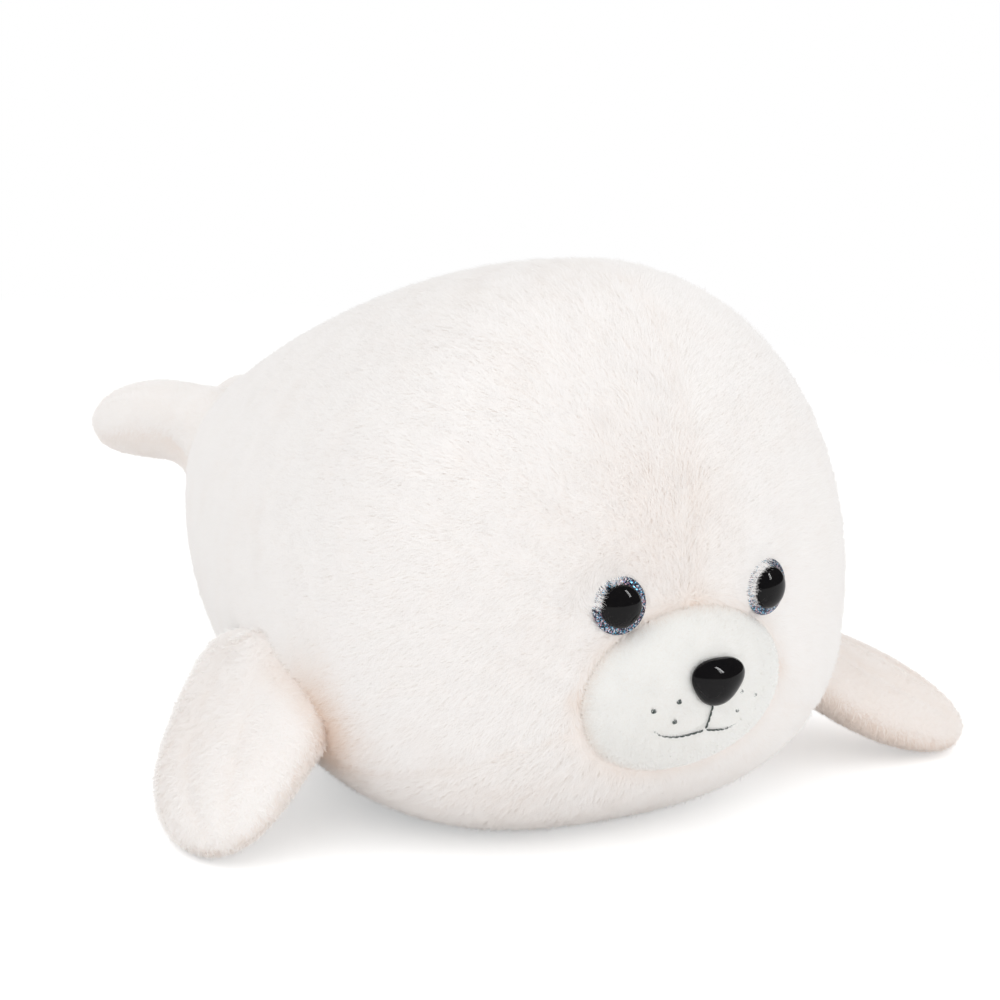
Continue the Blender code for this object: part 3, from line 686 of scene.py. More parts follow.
def panel_tints_and_shade(plain, outer, to_muzzle, to_seam):
    """Tints of a body panel: warmer along its seams, in the muzzle's pinches and on the brow, and a painted
    shade low down and in the folds at the front flippers."""
    near_muzzle = MUZZLE_TINT[0] * bell(to_muzzle, MUZZLE_TINT[1])
    to_pinches = (distance(plain, face_point(x, z)) for x, z in MUZZLE_PINCHES)
    pinch = PINCH_TINT[0] * sum(bell(to_pinch, PINCH_TINT[1]) for to_pinch in to_pinches)
    near_seam = SEAM_TINT[0] * bell(to_seam, SEAM_TINT[1])
    brow = BROW_TINT[0] * bell(distance(plain, face_point(*BROW)), BROW_TINT[1])
    low = LOW_PAINTED_SHADE[0] * np.clip((LOW_PAINTED_SHADE[1] - outer[..., 2]) / LOW_PAINTED_SHADE[1], 0, 1) ** LOW_SHADE_POWER
    armpit_shade = ARMPIT_PAINTED_SHADE[0] * painted_fold_shade(outer)
    tints = np.ones((*outer.shape[:2], 4))
    tints[..., 0] = BODY_TIP
    tints[..., 1] = np.clip(near_muzzle + pinch + near_seam + brow + low + armpit_shade, 0, 1)
    tints[..., 2] = BODY_BLADE
    return tints


def painted_fold_shade(points):
    """How deep points of the body lie in the fold under and in front of the nearer front flipper's root,
    which sets the painted shade there.
    """
    shade = np.zeros(points.shape[:2])
    along = np.linspace(*ARMPIT_ALONG, 9)[:, None]
    across = np.linspace(*ARMPIT_ACROSS, 7)[None, :]
    along, across = np.broadcast_arrays(along, across)
    for name, side in SIDES.items():
        flipper = paddle(FRONT_POSES[name], FRONT_FLIPPER, along, across, -1, side).reshape(-1, 3)
        nearest = distance(points[:, :, None], flipper).min(-1)
        shade = np.maximum(shade, bell(nearest, ARMPIT_PAINTED_SHADE[1]))
    return shade


def pressed_by_eyes(points, lie):
    """Lie of the pile round the eyes, where it stands up and curls over the side of each ring that its
    sector names, and how far it stands up."""
    lie = lie.copy()
    stand = np.zeros(points.shape[:2])
    for name, side in SIDES.items():
        offset = points - face_point(side * EYE_SPACING / 2, EYE_HEIGHT)
        beyond = np.maximum(np.linalg.norm(offset, axis=-1) - EYE_RING_RADIUS, 0)
        facing = (unit(offset[..., ::2]) * EYE_SECTORS[name]).sum(-1)
        near = bell(beyond, EYE_STAND_REACH) * (points[..., 1] < 0)
        share = EYE_STAND * near * np.clip((facing - SECTOR_START) / SECTOR_FADE, 0, 1)
        lie -= STAND_PUSH * share[..., None] * unit(offset)
        stand = np.maximum(stand, share)
    return lie, stand


def part_of(surface, first, last):
    """The rows of a surface from a first one to a last one."""
    return {name: grid[first:last + 1] for name, grid in surface.items()}


def eye_room(surface):
    """Share of the pile that is left round the eyes, where their rings press on it."""
    places = surface["grid"][:-1, :-1]
    room = np.ones(places.shape[:2])
    for side in SIDES.values():
        away = distance(places, face_point(side * EYE_SPACING / 2, EYE_HEIGHT))
        held = EYE_RING_RADIUS * (RING_HOLD[0] + RING_HOLD[1] * np.minimum(2 * surface["stand"][:-1, :-1], 1))
        room *= np.clip((away - held) / RING_FADE, 0, 1)
    return room


def make_body(finish):
    """Both sides and the belly, each a skin with its pile in pieces small enough for their files."""
    panels = {
        "body_side_left": (0, BELLY_SEAM_ANGLE, SIDE_COLUMNS, 1),
        "body_side_right": (2 * math.pi - BELLY_SEAM_ANGLE, 2 * math.pi, SIDE_COLUMNS, -1),
        "belly_panel": (BELLY_SEAM_ANGLE, 2 * math.pi - BELLY_SEAM_ANGLE, BELLY_COLUMNS, 0),
    }
    for seed, (node, values) in enumerate(panels.items(), BODY_SEED):
        surface = panel_surface(*values)
        outer, inner, tints = surface["grid"], surface["inner"], surface["tints"]
        skin = skin_between(f"{node}_skin", outer, inner, finish, False, tints)
        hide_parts(node)
        cuts = (0, BODY_ROWS) if node == "belly_panel" else (0, BODY_CUT, BODY_ROWS)
        for number, (start, end) in enumerate(zip(cuts, cuts[1:]), 1):
            part = part_of(surface, start, end)
            density = PILE_DENSITY * eye_room(part) * (1 + STAND_DENSITY * part["stand"][:-1, :-1])
            if node == "belly_panel":
                resting = part["grid"][:-1, :-1, 2] < RESTING_HEIGHT
                density = density * np.where(resting, RESTING_DENSITY, BELLY_DENSITY)
            fur = pile(f"{node}_pile_{number}", part, finish, part["lengths"], density, 10 * seed + number)


def make_muzzle(finish):
    """The muzzle's short plush: its skin and its pile, which lies away from the nose."""
    theta = np.linspace(0, 2 * math.pi, MUZZLE_COLUMNS + 1)[None, :]
    share = np.sin(np.linspace(0, math.pi / 2, MUZZLE_ROWS + 1))[:, None]
    plain = muzzle(share, theta)
    to_edge = distance(plain, plain[-1:])
    dip = seam_dip(to_edge)
    outer = muzzle(share, theta, MUZZLE_SKIN_INSET + dip)
    inner = muzzle(share, theta, MUZZLE_SKIN_INSET + SKIN_THICKNESS + dip)
    nose_place = face_point(0, NOSE_HEIGHT)
    outward = np.broadcast_to((0.0, -1.0, 0.0), outer.shape)
    tints = np.ones((*outer.shape[:2], 4))
    tints[..., 0] = MUZZLE_TIP
    tints[..., 1] = MUZZLE_EDGE_TINT[0] * bell(to_edge, MUZZLE_EDGE_TINT[1])
    normals = grid_normals(outer, outward)
    surface = {"grid": outer, "normals": normals, "lie": outer - nose_place, "tints": tints}
    skin = skin_between("muzzle_panel_skin", outer[:, :-1], inner[:, :-1], finish, True, tints[:, :-1])
    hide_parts("muzzle_panel")
    places = outer[:-1, :-1]
    nose_size = NOSE_HALF_WIDTH, NOSE_HALF_HEIGHT
    away = np.linalg.norm((places - nose_place)[..., ::2] / nose_size, axis=-1)
    density = MUZZLE_DENSITY * np.clip((away - NOSE_ROOM[0]) / NOSE_ROOM[1], 0, 1)
    for side in SIDES.values():
        for x, z in WHISKER_KNOTS:
            knot = face_point(side * x, MUZZLE_HEIGHT + z)
            density *= np.clip((distance(places, knot) - KNOT_ROOM[0]) / KNOT_ROOM[1], KNOT_LEAST, 1)
    lengths = MUZZLE_LENGTH * (1 - SHORTER_AT_EDGE[0] * bell(to_edge, SHORTER_AT_EDGE[1]))
    fur = pile("muzzle_panel_pile", surface, finish, lengths, density, MUZZLE_SEED, **MUZZLE_PILE)


def leaving_body(pose, sizes, across, face, side, inset):
    """Where along a flipper's face each of its columns comes out of the body, a little before it does."""
    along = np.linspace(0.0, 0.9, 240)[:, None] * np.ones((1, len(across)))
    outside = outside_body(paddle(pose, sizes, along, across[None, :], face, side, inset))
    first = np.argmax(outside > -ROOT_HIDDEN, axis=0)
    return along[first, 0]


def flared(front, outer, middle, crest, to_root, fade):
    """Moves that spread a flipper's skin out to the body near its root, so that no split shows there. A
    front one mostly moves up or down from its mid-plane, and a hind one mostly rises."""
    away = unit(outer - (middle + crest) / 2)
    if front:
        rise = unit(crest - middle)
        away = ROOT_LEVEL_SHARE * away + (1 - ROOT_LEVEL_SHARE) * dotted(away, rise) * rise
        return (ROOT_FLARE * fade * np.exp(-to_root / ROOT_FLARE_REACH))[..., None] * away
    upward = away[..., 2:]
    flare = HIND_FLARE * np.exp(-to_root / HIND_FLARE_REACH)[..., None]
    return flare * np.where(upward > 0, upward, -HIND_TUCK * upward) * away


def flipper_tints_and_shade(node, part, across, along, to_edge, to_root):
    """Tints of a flipper's panel: warmer at its seam, and painted shade in its grooves, in the front corner
    at its root, and over the whole panel where it is an underside or the left front flipper's top.
    """
    tint = (FLIPPER_EDGE_TINT[0] * bell(to_edge, FLIPPER_EDGE_TINT[1])
            + FLIPPER_GROOVE_SHADE[0] * grooves(across, FLIPPER_GROOVE_SHADE[1])[None, :] * along
            + FLIPPER_PAINTED_SHADE.get(node, HIND_PAINTED_SHADE)[part]
            + FLIPPER_CORNER_SHADE[0] * bell(to_root, FLIPPER_CORNER_SHADE[1]) * np.clip(-across, 0, 1))
    tints = np.ones((*tint.shape, 4))
    tints[..., 0] = BODY_TIP
    tints[..., 1] = np.clip(tint, 0, 1)
    return tints


def make_flipper(node, pose, sizes, side, finish, seed):
    """One flipper's upper and lower panels, each a skin and its pile, from the body's surface to the tip."""
    across = np.sin(np.linspace(-math.pi / 2, math.pi / 2, FLIPPER_COLUMNS + 1))
    step = np.sin(np.linspace(0, math.pi / 2, FLIPPER_ROWS + 1))[:, None]
    length = sum(math.dist(pose[a], pose[b]) for a, b in (("root", "bend"), ("bend", "tip")))
    front = node.startswith("front")
    for part, face in (("upper", 1), ("lower", -1)):
        start = leaving_body(pose, sizes, across, face, side, SKIN_INSET) if front else HIND_START
        along = start + (1 - start) * step
        to_edge = np.arccos(np.abs(across)) * sizes["blade_half_thickness"] * np.ones_like(along)
        dip = FLIPPER_SEAM_SHARE * seam_dip(to_edge)
        outer = paddle(pose, sizes, along, across[None, :], face, side, SKIN_INSET + dip)
        inner = paddle(pose, sizes, along, across[None, :], face, side, SKIN_INSET + SKIN_THICKNESS + dip)
        middle = paddle(pose, sizes, along, across[None, :] * 0, -face, side, SKIN_INSET)
        crest = paddle(pose, sizes, along, across[None, :] * 0, face, side, SKIN_INSET)
        normals = grid_normals(outer, outer - middle)
        if front:
            to_root = np.maximum(outside_body(outer), 0) * BODY_HALF_WIDTH
            fade = 1 - bell((along - start) * length, ROOT_FADE)
        else:
            to_root = np.maximum(along * length - HIND_STRAIGHT, 0) + 0 * outer[..., 0]
            fade = 1
        moves = flared(front, outer, middle, crest, to_root, fade)
        outer, inner = outer + moves, inner + moves
        tints = flipper_tints_and_shade(node, part, across, along, to_edge, to_root)
        surface = {"grid": outer, "normals": grid_normals(outer, normals), "lie": np.gradient(outer, axis=0),
                   "tints": tints}
        skin = skin_between(f"{node}_{part}_skin", outer, inner, finish, False, tints)
        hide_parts(f"{node}_{part}_panel")
        lengths = FLIPPER_LENGTH * np.ones_like(outer[..., 0])
        fur = pile(f"{node}_{part}_pile", surface, finish, lengths, FLIPPER_DENSITY, seed + face,
                   **FLIPPER_PILE)


def make_flippers(finish):
    """Both front flippers in their poses and both hind ones."""
    for name, side in SIDES.items():
        make_flipper(f"front_flipper_{name}", FRONT_POSES[name], FRONT_FLIPPER, side, finish,
                     FRONT_SEEDS[name])
        make_flipper(f"hind_flipper_{name}", HIND_POSE, HIND_FLIPPER, side, finish, HIND_SEEDS[name])


def standing(points, place, direction):
    """Points made round Z, turned to a direction and moved to a place."""
    turn = Vector(direction).to_track_quat("Z", "Y").to_matrix()
    return points @ np.array(turn).T + place


def turned(radius, height, steps):
    """Grid of a profile turned round Z."""
    angle = np.linspace(0, 2 * math.pi, steps, endpoint=False)
    return np.stack([radius[:, None] * np.cos(angle), radius[:, None] * np.sin(angle),
                     np.repeat(height[:, None], steps, axis=1)], -1)


def turned_piece(name, radius, height, place, direction, finish, steps=96):
    """Closed round piece from a profile that starts and ends on its axis, or that closes on itself."""
    grid = standing(turned(np.array(radius), np.array(height), steps), place, direction)
    return solid_piece(name, grid, grid_faces(len(radius), steps, 0, True), finish)


def make_eye(name, side, black, glitter):
    """Glossy dome on a stem, and the wide glitter ring under it with a rolled rim."""
    x = side * EYE_SPACING / 2
    direction = face_normal(x, EYE_HEIGHT)
    place = face_point(x, EYE_HEIGHT) - EYE_SINK * direction
    top = RING_GAP + EYE_RING_THICKNESS
    roll = np.linspace(0, math.pi / 2, 10)
    rim = EYE_RING_RADIUS - RING_RIM + RING_RIM * np.sin(roll)
    back = EYE_RING_RADIUS * RING_BACK
    radius = np.concatenate([[RING_BORE, EYE_DOME_RADIUS], rim, [back, RING_BORE, RING_BORE]])
    height = np.concatenate([[top, top], top - RIM_SLOPE - RING_RIM + RING_RIM * np.cos(roll),
                             [RING_GAP, RING_GAP, top]])
    ring = turned_piece(f"eye_ring_{name}_disc", radius, height, place, direction, glitter)
    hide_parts(f"eye_ring_{name}")

    base = top + RING_GAP
    arc = np.linspace(0, math.pi / 2, 24)
    radius = np.concatenate([EYE_DOME_RADIUS * np.sin(arc), [STEM_RADIUS, STEM_RADIUS, 0]])
    height = np.concatenate([base + EYE_DOME_HEIGHT * np.cos(arc), [base, -STEM_LENGTH, -STEM_LENGTH]])
    dome = turned_piece(f"eye_{name}_dome", radius, height, place, direction, black)
    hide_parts(f"eye_{name}")


def make_nose(black):
    """Domed nose with a three-cornered outline, its point down, and rounded where it meets the plush."""
    steps = 120
    place = face_point(0, NOSE_HEIGHT) + (0, NOSE_SINK, 0)
    angle = np.linspace(0, 2 * math.pi, steps, endpoint=False)
    circle = np.stack([np.cos(angle), np.sin(angle)], -1)
    corner = 1 + NOSE_ROUNDING * NOSE_CORNERS * np.sin(3 * angle)
    outline = corner[:, None] * (NOSE_HALF_WIDTH, NOSE_HALF_HEIGHT) * circle
    stem = STEM_RADIUS * circle

    def level(flat, height):
        return np.concatenate([flat, np.full((steps, 1), height)], axis=1)

    rows = [level(outline * math.sin(a), RING_GAP + NOSE_DEPTH * (NOSE_EDGE + (1 - NOSE_EDGE) * math.cos(a)))
            for a in np.linspace(0, math.pi / 2, 28)]
    rows += [level(outline * (1 - NOSE_UNDERCUT * math.sin(a)),
                   RING_GAP + NOSE_DEPTH * NOSE_EDGE * (1 - math.sin(a)))
             for a in np.linspace(0.2, math.pi / 2, 6)]
    rows += [level(stem, RING_GAP), level(stem, -STEM_LENGTH), level(stem * 0, -STEM_LENGTH)]
    grid = np.array(rows)
    grid = np.stack([grid[..., 0], -grid[..., 2], grid[..., 1]], -1) + place
    nose = solid_piece("nose_button", grid, grid_faces(len(rows), steps, 0, True), black)
    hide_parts("nose")


def smooth_run(marks, steps):
    """Smooth line through marks: a cubic between each pair, which passes each mark along the line that joins
    its neighbours."""
    marks = np.array(marks, float)
    padded = np.concatenate([2 * marks[:1] - marks[1:2], marks, 2 * marks[-1:] - marks[-2:-1]])
    t = np.linspace(0, 1, steps, endpoint=False)[None, :, None]
    a, b, c, d = (padded[i:i + len(marks) - 1, None] for i in range(4))
    line = 0.5 * (2 * b + (c - a) * t + (2 * a - 5 * b + 4 * c - d) * t ** 2
                  + (3 * b - a - 3 * c + d) * t ** 3)
    return np.concatenate([line.reshape(-1, marks.shape[1]), marks[-1:]])


def tube(line, normals, radius, sides):
    """Rows of a round tube along a line, with closed ends. radius has a value for each point."""
    forward = unit(np.gradient(line, axis=0))
    beside = unit(np.cross(forward, normals))
    upward = np.cross(beside, forward)
    angle = np.linspace(0, 2 * math.pi, sides, endpoint=False)
    ring = beside[:, None] * np.cos(angle)[:, None] + upward[:, None] * np.sin(angle)[:, None]
    grid = line[:, None] + ring * radius[:, None, None]
    ends = [np.repeat(line[i:i + 1, None], sides, axis=1) for i in (0, len(line) - 1)]
    return np.concatenate([ends[0], grid, ends[1]])


def make_thread(name, marks, finish, ends=0):
    """Run of back stitches: a tube on the face that is pulled in between each stitch and the next, and that
    sinks deeper towards its last mark by its share of ends."""
    line = smooth_run(marks, 24)
    run = np.concatenate([[0], np.cumsum(np.linalg.norm(np.diff(line, axis=0), axis=1))])
    stitches = max(1, round(run[-1] / STITCH_LENGTH))
    bulge = np.abs(np.sin(math.pi * stitches * run / run[-1])) ** 0.5
    x, z = line.T
    normals = face_normal(x, z)
    sink = THREAD_SINK + ends * SMILE_DEEPENING * (run / run[-1]) ** 2
    points = face_point(x, z) + normals * (THREAD_RADIUS * (STITCH_LIFT * bulge - sink))[:, None]
    radius = THREAD_RADIUS * (STITCH_RADII[0] + STITCH_RADII[1] * bulge)
    grid = tube(points, normals, radius, 12)
    piece = solid_piece(f"{name}_thread", grid, grid_faces(len(grid), 12, 0, True), finish)
    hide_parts(name)


def make_mouth(finish):
    """Upright run under the nose and the two halves of the smile, and the whisker knots."""
    make_thread("mouth_stitch_upright", [(0.0, MOUTH_TOP), (0.0, MOUTH_FORK)], finish)
    for name, side in SIDES.items():
        deeper = SMILE_DEEPER[name]
        smile = [(side * x, MOUTH_FORK + z) for x, z in MOUTH_SMILE]
        make_thread(f"mouth_stitch_{name}", smile, finish, ends=deeper)
        for number, (x, z) in enumerate(WHISKER_KNOTS, 1):
            sink = KNOT_SINK * (deeper - KNOT_SHALLOWER)
            make_knot(f"whisker_knot_{name}_{number}", side * x, MUZZLE_HEIGHT + z, sink, finish)


def make_knot(name, x, z, sink, finish):
    """Small knot: a ball pressed flat, with three strands wound over it as ridges."""
    place, direction = face_point(x, z), face_normal(x, z)
    angle = np.linspace(0, 2 * math.pi, 24, endpoint=False)[None, :]
    arc = np.linspace(0, math.pi, 15)[:, None]
    strands = 1 + KNOT_RIDGES * np.sin(3 * angle + 2.5 * arc) * np.sin(arc)
    flat = KNOT_FLATNESS * np.cos(arc) * np.ones_like(angle)
    ball = np.stack([np.sin(arc) * np.cos(angle), np.sin(arc) * np.sin(angle), flat], -1)
    grid = KNOT_SIZE * KNOT_RADIUS * strands[..., None] * ball
    grid = standing(grid, place - direction * sink, direction)
    piece = solid_piece(f"{name}_ball", grid, grid_faces(15, 24, 0, True), finish)
    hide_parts(name)


def add_node(tree, kind, inputs=None, **settings):
    """A node with its settings, and its inputs set to values or linked from sockets."""
    node = tree.nodes.new(kind)
    for name, value in settings.items():
        setattr(node, name, value)
    for name, value in (inputs or {}).items():
        if isinstance(value, bpy.types.NodeSocket):
            tree.links.new(value, node.inputs[name])
        else:
            node.inputs[name].default_value = value
    return node


def new_group(name, inputs, outputs):
    """A shader node group with typed sockets, and its input and output nodes."""
    group = bpy.data.node_groups.new(name, "ShaderNodeTree")
    for kind, sockets in (("INPUT", inputs), ("OUTPUT", outputs)):
        for label, socket in sockets.items():
            group.interface.new_socket(label, in_out=kind, socket_type=f"NodeSocket{socket}")
    return group, group.nodes.new("NodeGroupInput"), group.nodes.new("NodeGroupOutput")


def mix(tree, factor, first, second, blend="MIX"):
    """Colour mixed between two by a factor. Each is a socket, or red, green and blue."""
    inputs = {0: factor, 6: first, 7: second}
    for number in (6, 7):
        if not isinstance(inputs[number], bpy.types.NodeSocket):
            inputs[number] = (*inputs[number], 1.0)
    return add_node(tree, "ShaderNodeMix", inputs, data_type="RGBA", blend_type=blend).outputs[2]


def maths(tree, operation, first, second=0.0):
    """One sum on values."""
    return add_node(tree, "ShaderNodeMath", {0: first, 1: second}, operation=operation).outputs[0]


def vector_maths(tree, operation, first, other):
    """One sum on vectors. other holds its second input, if it has one, by name or number."""
    return add_node(tree, "ShaderNodeVectorMath", {0: first, **other}, operation=operation).outputs[0]


def own_place(tree):
    """Places in the piece's own coordinates, which patterns read."""
    return add_node(tree, "ShaderNodeTexCoord").outputs["Object"]


def noise(tree, scale, detail, roughness=0.5):
    """Soft noise from 0 to 1, fixed to the piece."""
    inputs = {"Vector": own_place(tree), "Scale": scale, "Detail": detail, "Roughness": roughness}
    return add_node(tree, "ShaderNodeTexNoise", inputs).outputs[0]


def between(tree, value, low, high):
    """A value from 0 to 1 spread between two others."""
    return add_node(tree, "ShaderNodeMapRange", {"Value": value, "To Min": low, "To Max": high}).outputs[0]


def plush_group():
    """Colour of pile: from its root, darker as a painted shade deep in the pile, to its tip, warmer in seams
    and a few other places, with painted shade low down, in folds and on flipper undersides, mottled in soft
    patches, and a little lighter or darker from blade to blade."""
    group, given, result = new_group(
        "plush_colour", {"Root": "Color", "Tip": "Color", "Warm": "Color", "Mottle": "Float"},
        {"Color": "Color"})
    pile_data = add_node(group, "ShaderNodeAttribute", attribute_name="pile")
    height, warmth_and_shade, blade = add_node(group, "ShaderNodeSeparateColor",
                                     {"Color": pile_data.outputs["Color"]}).outputs
    patches = noise(group, scale=38.0, detail=3.0, roughness=0.6)
    mottle = maths(group, "MULTIPLY", maths(group, "SUBTRACT", patches, 0.5), given.outputs["Mottle"])
    colour = mix(group, maths(group, "POWER", height, 0.7), given.outputs["Root"], given.outputs["Tip"])
    warmth_and_shade = add_node(group, "ShaderNodeClamp", {0: maths(group, "ADD", warmth_and_shade, mottle)}).outputs[0]
    colour = mix(group, warmth_and_shade, colour, given.outputs["Warm"])
    shade = maths(group, "ADD", maths(group, "MULTIPLY", blade, 0.02), 0.965)
    grey = add_node(group, "ShaderNodeCombineColor", {0: shade, 1: shade, 2: shade}).outputs[0]
    group.links.new(mix(group, 1.0, colour, grey, "MULTIPLY"), result.inputs["Color"])
    return group


def new_material(name):
    """A material with its tree and its Principled shader."""
    made = bpy.data.materials.new(name)
    made.use_nodes = True
    return made, made.node_tree, made.node_tree.nodes["Principled BSDF"]


def set_inputs(shader, values):
    """Values for a shader's own sockets."""
    for name, value in values.items():
        shader.inputs[name].default_value = value


def plush_material(name, group, root, tip, mottle, sheen):
    """Soft pile: rough, with a pale sheen where it is seen edge on."""
    made, tree, shader = new_material(name)
    colour = add_node(tree, "ShaderNodeGroup", node_tree=group)
    set_inputs(colour, {"Root": (*root, 1.0), "Tip": (*tip, 1.0), "Warm": (*WARM_TINT_AND_SHADE, 1.0), "Mottle": mottle})
    tree.links.new(colour.outputs["Color"], shader.inputs["Base Color"])
    set_inputs(shader, {"Roughness": 0.95, "Specular IOR Level": 0.1, "Sheen Weight": sheen,
                        "Sheen Roughness": 0.5, "Sheen Tint": (1.0, 0.97, 0.94, 1.0)})
    behind = add_node(tree, "ShaderNodeNewGeometry").outputs["Backfacing"]
    through = add_node(tree, "ShaderNodeBsdfTranslucent", {"Color": colour.outputs["Color"]})
    both = add_node(tree, "ShaderNodeMixShader", {0: behind, 1: shader.outputs[0], 2: through.outputs[0]})
    tree.links.new(both.outputs[0], tree.nodes["Material Output"].inputs["Surface"])
    return made


def glossy_black_material():
    """Moulded black plastic: a clear gloss that varies a little, as handled plastic does."""
    made, tree, shader = new_material("glossy_black_plastic")
    smears = noise(tree, scale=260.0, detail=4.0)
    tree.links.new(between(tree, smears, 0.03, 0.085), shader.inputs["Roughness"])
    tree.links.new(mix(tree, smears, BLACK, SMEARED_BLACK), shader.inputs["Base Color"])
    set_inputs(shader, {"Specular IOR Level": 0.17})
    return made


def glitter_material():
    """Clear lacquer full of flakes: cells of blue, pink and silver foil, each turned its own way, on dark."""
    made, tree, shader = new_material("blue_and_pink_glitter")
    cells = add_node(tree, "ShaderNodeTexVoronoi", {"Vector": own_place(tree), "Scale": 2100.0})
    parts = add_node(tree, "ShaderNodeSeparateColor", {"Color": cells.outputs["Color"]})
    ramp = add_node(tree, "ShaderNodeValToRGB", {"Fac": parts.outputs[0]})
    elements = ramp.color_ramp.elements
    ramp.color_ramp.interpolation = "CONSTANT"
    for number, (position, colour) in enumerate(FOIL_STOPS):
        element = elements[number] if number < 2 else elements.new(position)
        element.position, element.color = position, (*colour, 1.0)
    tree.links.new(ramp.outputs["Color"], shader.inputs["Base Color"])
    spread = vector_maths(tree, "SUBTRACT", cells.outputs["Color"], {1: (0.5, 0.5, 0.5)})
    lean = vector_maths(tree, "SCALE", spread, {"Scale": 0.9})
    flat = add_node(tree, "ShaderNodeNewGeometry").outputs["Normal"]
    normal = vector_maths(tree, "NORMALIZE", vector_maths(tree, "ADD", flat, {1: lean}), {})
    tree.links.new(normal, shader.inputs["Normal"])
    set_inputs(shader, {"Roughness": 0.28, "Metallic": 0.85, "Coat Weight": 0.6, "Coat Roughness": 0.08})
    return made


def filling_material():
    """White fibre filling: matt fluff with soft clumps."""
    made, tree, shader = new_material("white_fibre_filling")
    clumps = noise(tree, scale=90.0, detail=6.0)
    tree.links.new(mix(tree, clumps, *FILLING_COLOURS), shader.inputs["Base Color"])
    bump = add_node(tree, "ShaderNodeBump", {"Height": clumps, "Strength": 0.8, "Distance": 0.002})
    tree.links.new(bump.outputs["Normal"], shader.inputs["Normal"])
    set_inputs(shader, {"Roughness": 1.0, "Specular IOR Level": 0.1})
    return made


def washer_material():
    """White moulded plastic of the washers that hold the eyes and the nose."""
    made, tree, shader = new_material("white_washer_plastic")
    grain = noise(tree, scale=400.0, detail=3.0)
    tree.links.new(mix(tree, grain, *WASHER_COLOURS), shader.inputs["Base Color"])
    tree.links.new(between(tree, grain, 0.35, 0.5), shader.inputs["Roughness"])
    return made


def finish_inside():
    """Finishes for the solids that stay as they are inside the seal: its filling and its washers."""
    filling, washer = filling_material(), washer_material()
    for name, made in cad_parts.items():
        if not made.hide_render:
            made.data.materials.clear()
            made.data.materials.append(washer if name.endswith("washer") else filling)


def thread_material():
    """Dark green-grey thread: fine plies wound along it, and a soft roughness."""
    made, tree, shader = new_material("dark_mouth_thread")
    plies = add_node(tree, "ShaderNodeTexWave", {"Vector": own_place(tree), "Scale": 620.0, "Distortion": 2.0,
                                                 "Detail": 2.0}, bands_direction="DIAGONAL").outputs["Fac"]
    tree.links.new(mix(tree, plies, *THREAD_COLOURS), shader.inputs["Base Color"])
    bump = add_node(tree, "ShaderNodeBump", {"Height": plies, "Strength": 0.5, "Distance": 0.0003})
    tree.links.new(bump.outputs["Normal"], shader.inputs["Normal"])
    set_inputs(shader, {"Roughness": 0.7, "Sheen Weight": 0.2})
    return made


def make_camera():
    """The photograph's camera, from its angles round the seal."""
    a, e, w = CAMERA_AZIMUTH, CAMERA_ELEVATION, CAMERA_ROLL
    back = np.array([math.sin(a) * math.cos(e), -math.cos(a) * math.cos(e), math.sin(e)])
    level = np.array([math.cos(a), math.sin(a), 0.0])
    rise = np.cross(back, level)
    right = level * math.cos(w) + rise * math.sin(w)
    up = rise * math.cos(w) - level * math.sin(w)
    place = CAMERA_TARGET + SHIFT + back * CAMERA_DISTANCE
    camera = linked("camera", bpy.data.cameras.new("camera"))
    camera.data.sensor_fit = "HORIZONTAL"
    camera.data.angle = 2 * math.atan(PICTURE_WIDTH / 2 / FOCAL_LENGTH)
    camera.data.clip_end = 100.0
    matrix = np.eye(4)
    matrix[:3, 0], matrix[:3, 1], matrix[:3, 2], matrix[:3, 3] = right, up, back, place
    camera.matrix_world = Matrix(matrix.tolist())
    bpy.context.scene.camera = camera


def floor_material():
    """White floor: near the seal it keeps shadows, and farther out it runs into the white background."""
    made, tree, shader = new_material("white_floor")
    set_inputs(shader, {"Base Color": (0.96, 0.96, 0.96, 1.0), "Roughness": 1.0, "Specular IOR Level": 0.0})
    plain = shader.outputs[0]

    def either(factor, first, second):
        return add_node(tree, "ShaderNodeMixShader", {0: factor, 1: first, 2: second}).outputs[0]

    seen = add_node(tree, "ShaderNodeLightPath").outputs["Is Camera Ray"]
    lift = add_node(tree, "ShaderNodeEmission", {"Color": (0.95, 0.985, 1.0, 1.0), "Strength": FLOOR_LIFT})
    near = add_node(tree, "ShaderNodeAddShader", {0: plain, 1: lift.outputs[0]}).outputs[0]
    away = add_node(tree, "ShaderNodeVectorMath", {0: own_place(tree)}, operation="LENGTH").outputs["Value"]
    far = add_node(tree, "ShaderNodeMapRange", {"Value": away, "From Min": 0.5, "From Max": 1.1}).outputs[0]
    white = add_node(tree, "ShaderNodeEmission", {"Color": (1.0, 1.0, 1.0, 1.0), "Strength": 1.0}).outputs[0]
    mixed = either(maths(tree, "MULTIPLY", far, seen), either(seen, plain, near), white)
    tree.links.new(mixed, tree.nodes["Material Output"].inputs["Surface"])
    return made


def make_window():
    """A tall window with two panes, small and far off, that only shows in the gloss of the eyes and nose."""
    beside = np.array([math.cos(WINDOW_TURN), math.sin(WINDOW_TURN), 0])
    for number, (across, width) in enumerate(WINDOW_PANES):
        light = bpy.data.lights.new(f"window_{number}", "AREA")
        light.shape, light.energy = "RECTANGLE", WINDOW_STRENGTH * width
        light.size, light.size_y = width, WINDOW_HEIGHT
        made = linked(f"window_{number}", light)
        made.location = WINDOW_PLACE + beside * across
        made.rotation_euler = Vector(made.location).to_track_quat("Z", "Y").to_euler()
        made.visible_diffuse = False


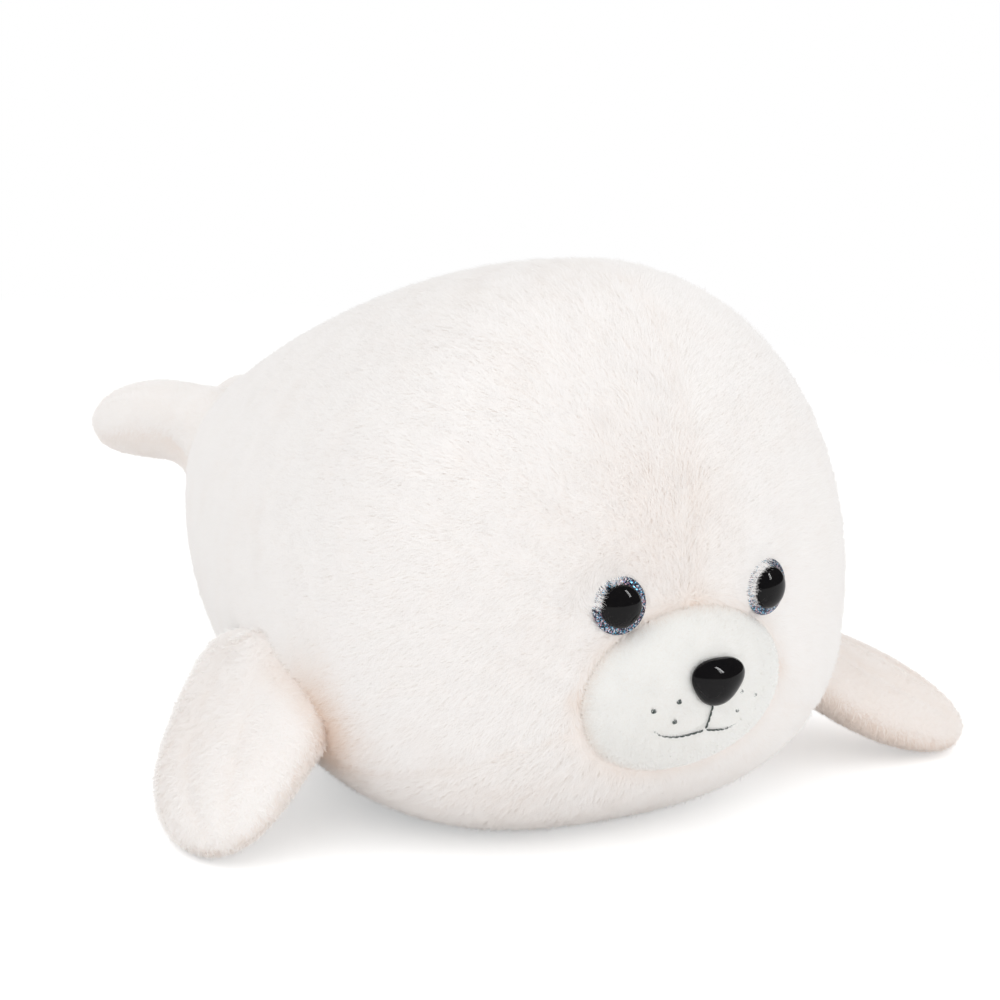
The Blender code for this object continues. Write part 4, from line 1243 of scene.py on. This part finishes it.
def make_floor():
    """A wide floor under the seal."""
    mesh = bpy.data.meshes.new("floor")
    corners = [(-1, -1), (1, -1), (1, 1), (-1, 1)]
    mesh.from_pydata([(x * FLOOR_SIZE, y * FLOOR_SIZE, 0) for x, y in corners], [], [(0, 1, 2, 3)])
    mesh.materials.append(floor_material())
    floor = linked("floor", mesh)


def make_world():
    """A world that lights softly from all round: white to the camera, and almost dark to gloss."""
    world = bpy.data.worlds.new("studio")
    bpy.context.scene.world = world
    world.use_nodes = True
    tree = world.node_tree
    background = tree.nodes["Background"]
    path = add_node(tree, "ShaderNodeLightPath").outputs
    inputs = {0: path["Is Camera Ray"], 2: WORLD_STRENGTH, 3: 1.0}
    strength = add_node(tree, "ShaderNodeMix", inputs).outputs[0]
    inputs = {0: path["Is Glossy Ray"], 2: strength, 3: GLOSS_STRENGTH}
    tree.links.new(add_node(tree, "ShaderNodeMix", inputs).outputs[0], background.inputs["Strength"])
    background.inputs["Color"].default_value = (1.0, 1.0, 1.0, 1.0)


def make_lamps():
    """Two wide soft lamps, which gloss doesn't show."""
    for name, values in LAMPS.items():
        lamp = bpy.data.lights.new(name, "SUN")
        lamp.energy, lamp.angle = values["strength"], values["angle"]
        made = linked(name, lamp)
        made.rotation_euler = Vector(values["place"]).to_track_quat("Z", "Y").to_euler()
        made.visible_glossy = False


def main():
    """The whole scene."""
    group = plush_group()
    cream = plush_material("cream_plush_pile", group, CREAM_SHADED_ROOT, CREAM_TIP, mottle=0.22, sheen=0.25)
    white = plush_material("white_short_pile", group, WHITE_SHADED_ROOT, WHITE_TIP, mottle=0.10, sheen=0.15)
    black, glitter, thread = glossy_black_material(), glitter_material(), thread_material()
    make_body(cream)
    make_muzzle(white)
    make_flippers(cream)
    for name, side in SIDES.items():
        make_eye(name, side, black, glitter)
    make_nose(black)
    make_mouth(thread)
    finish_inside()
    make_camera()
    make_floor()
    make_world()
    make_lamps()
    make_window()
    bpy.context.scene.view_settings.view_transform = "Standard"


main()
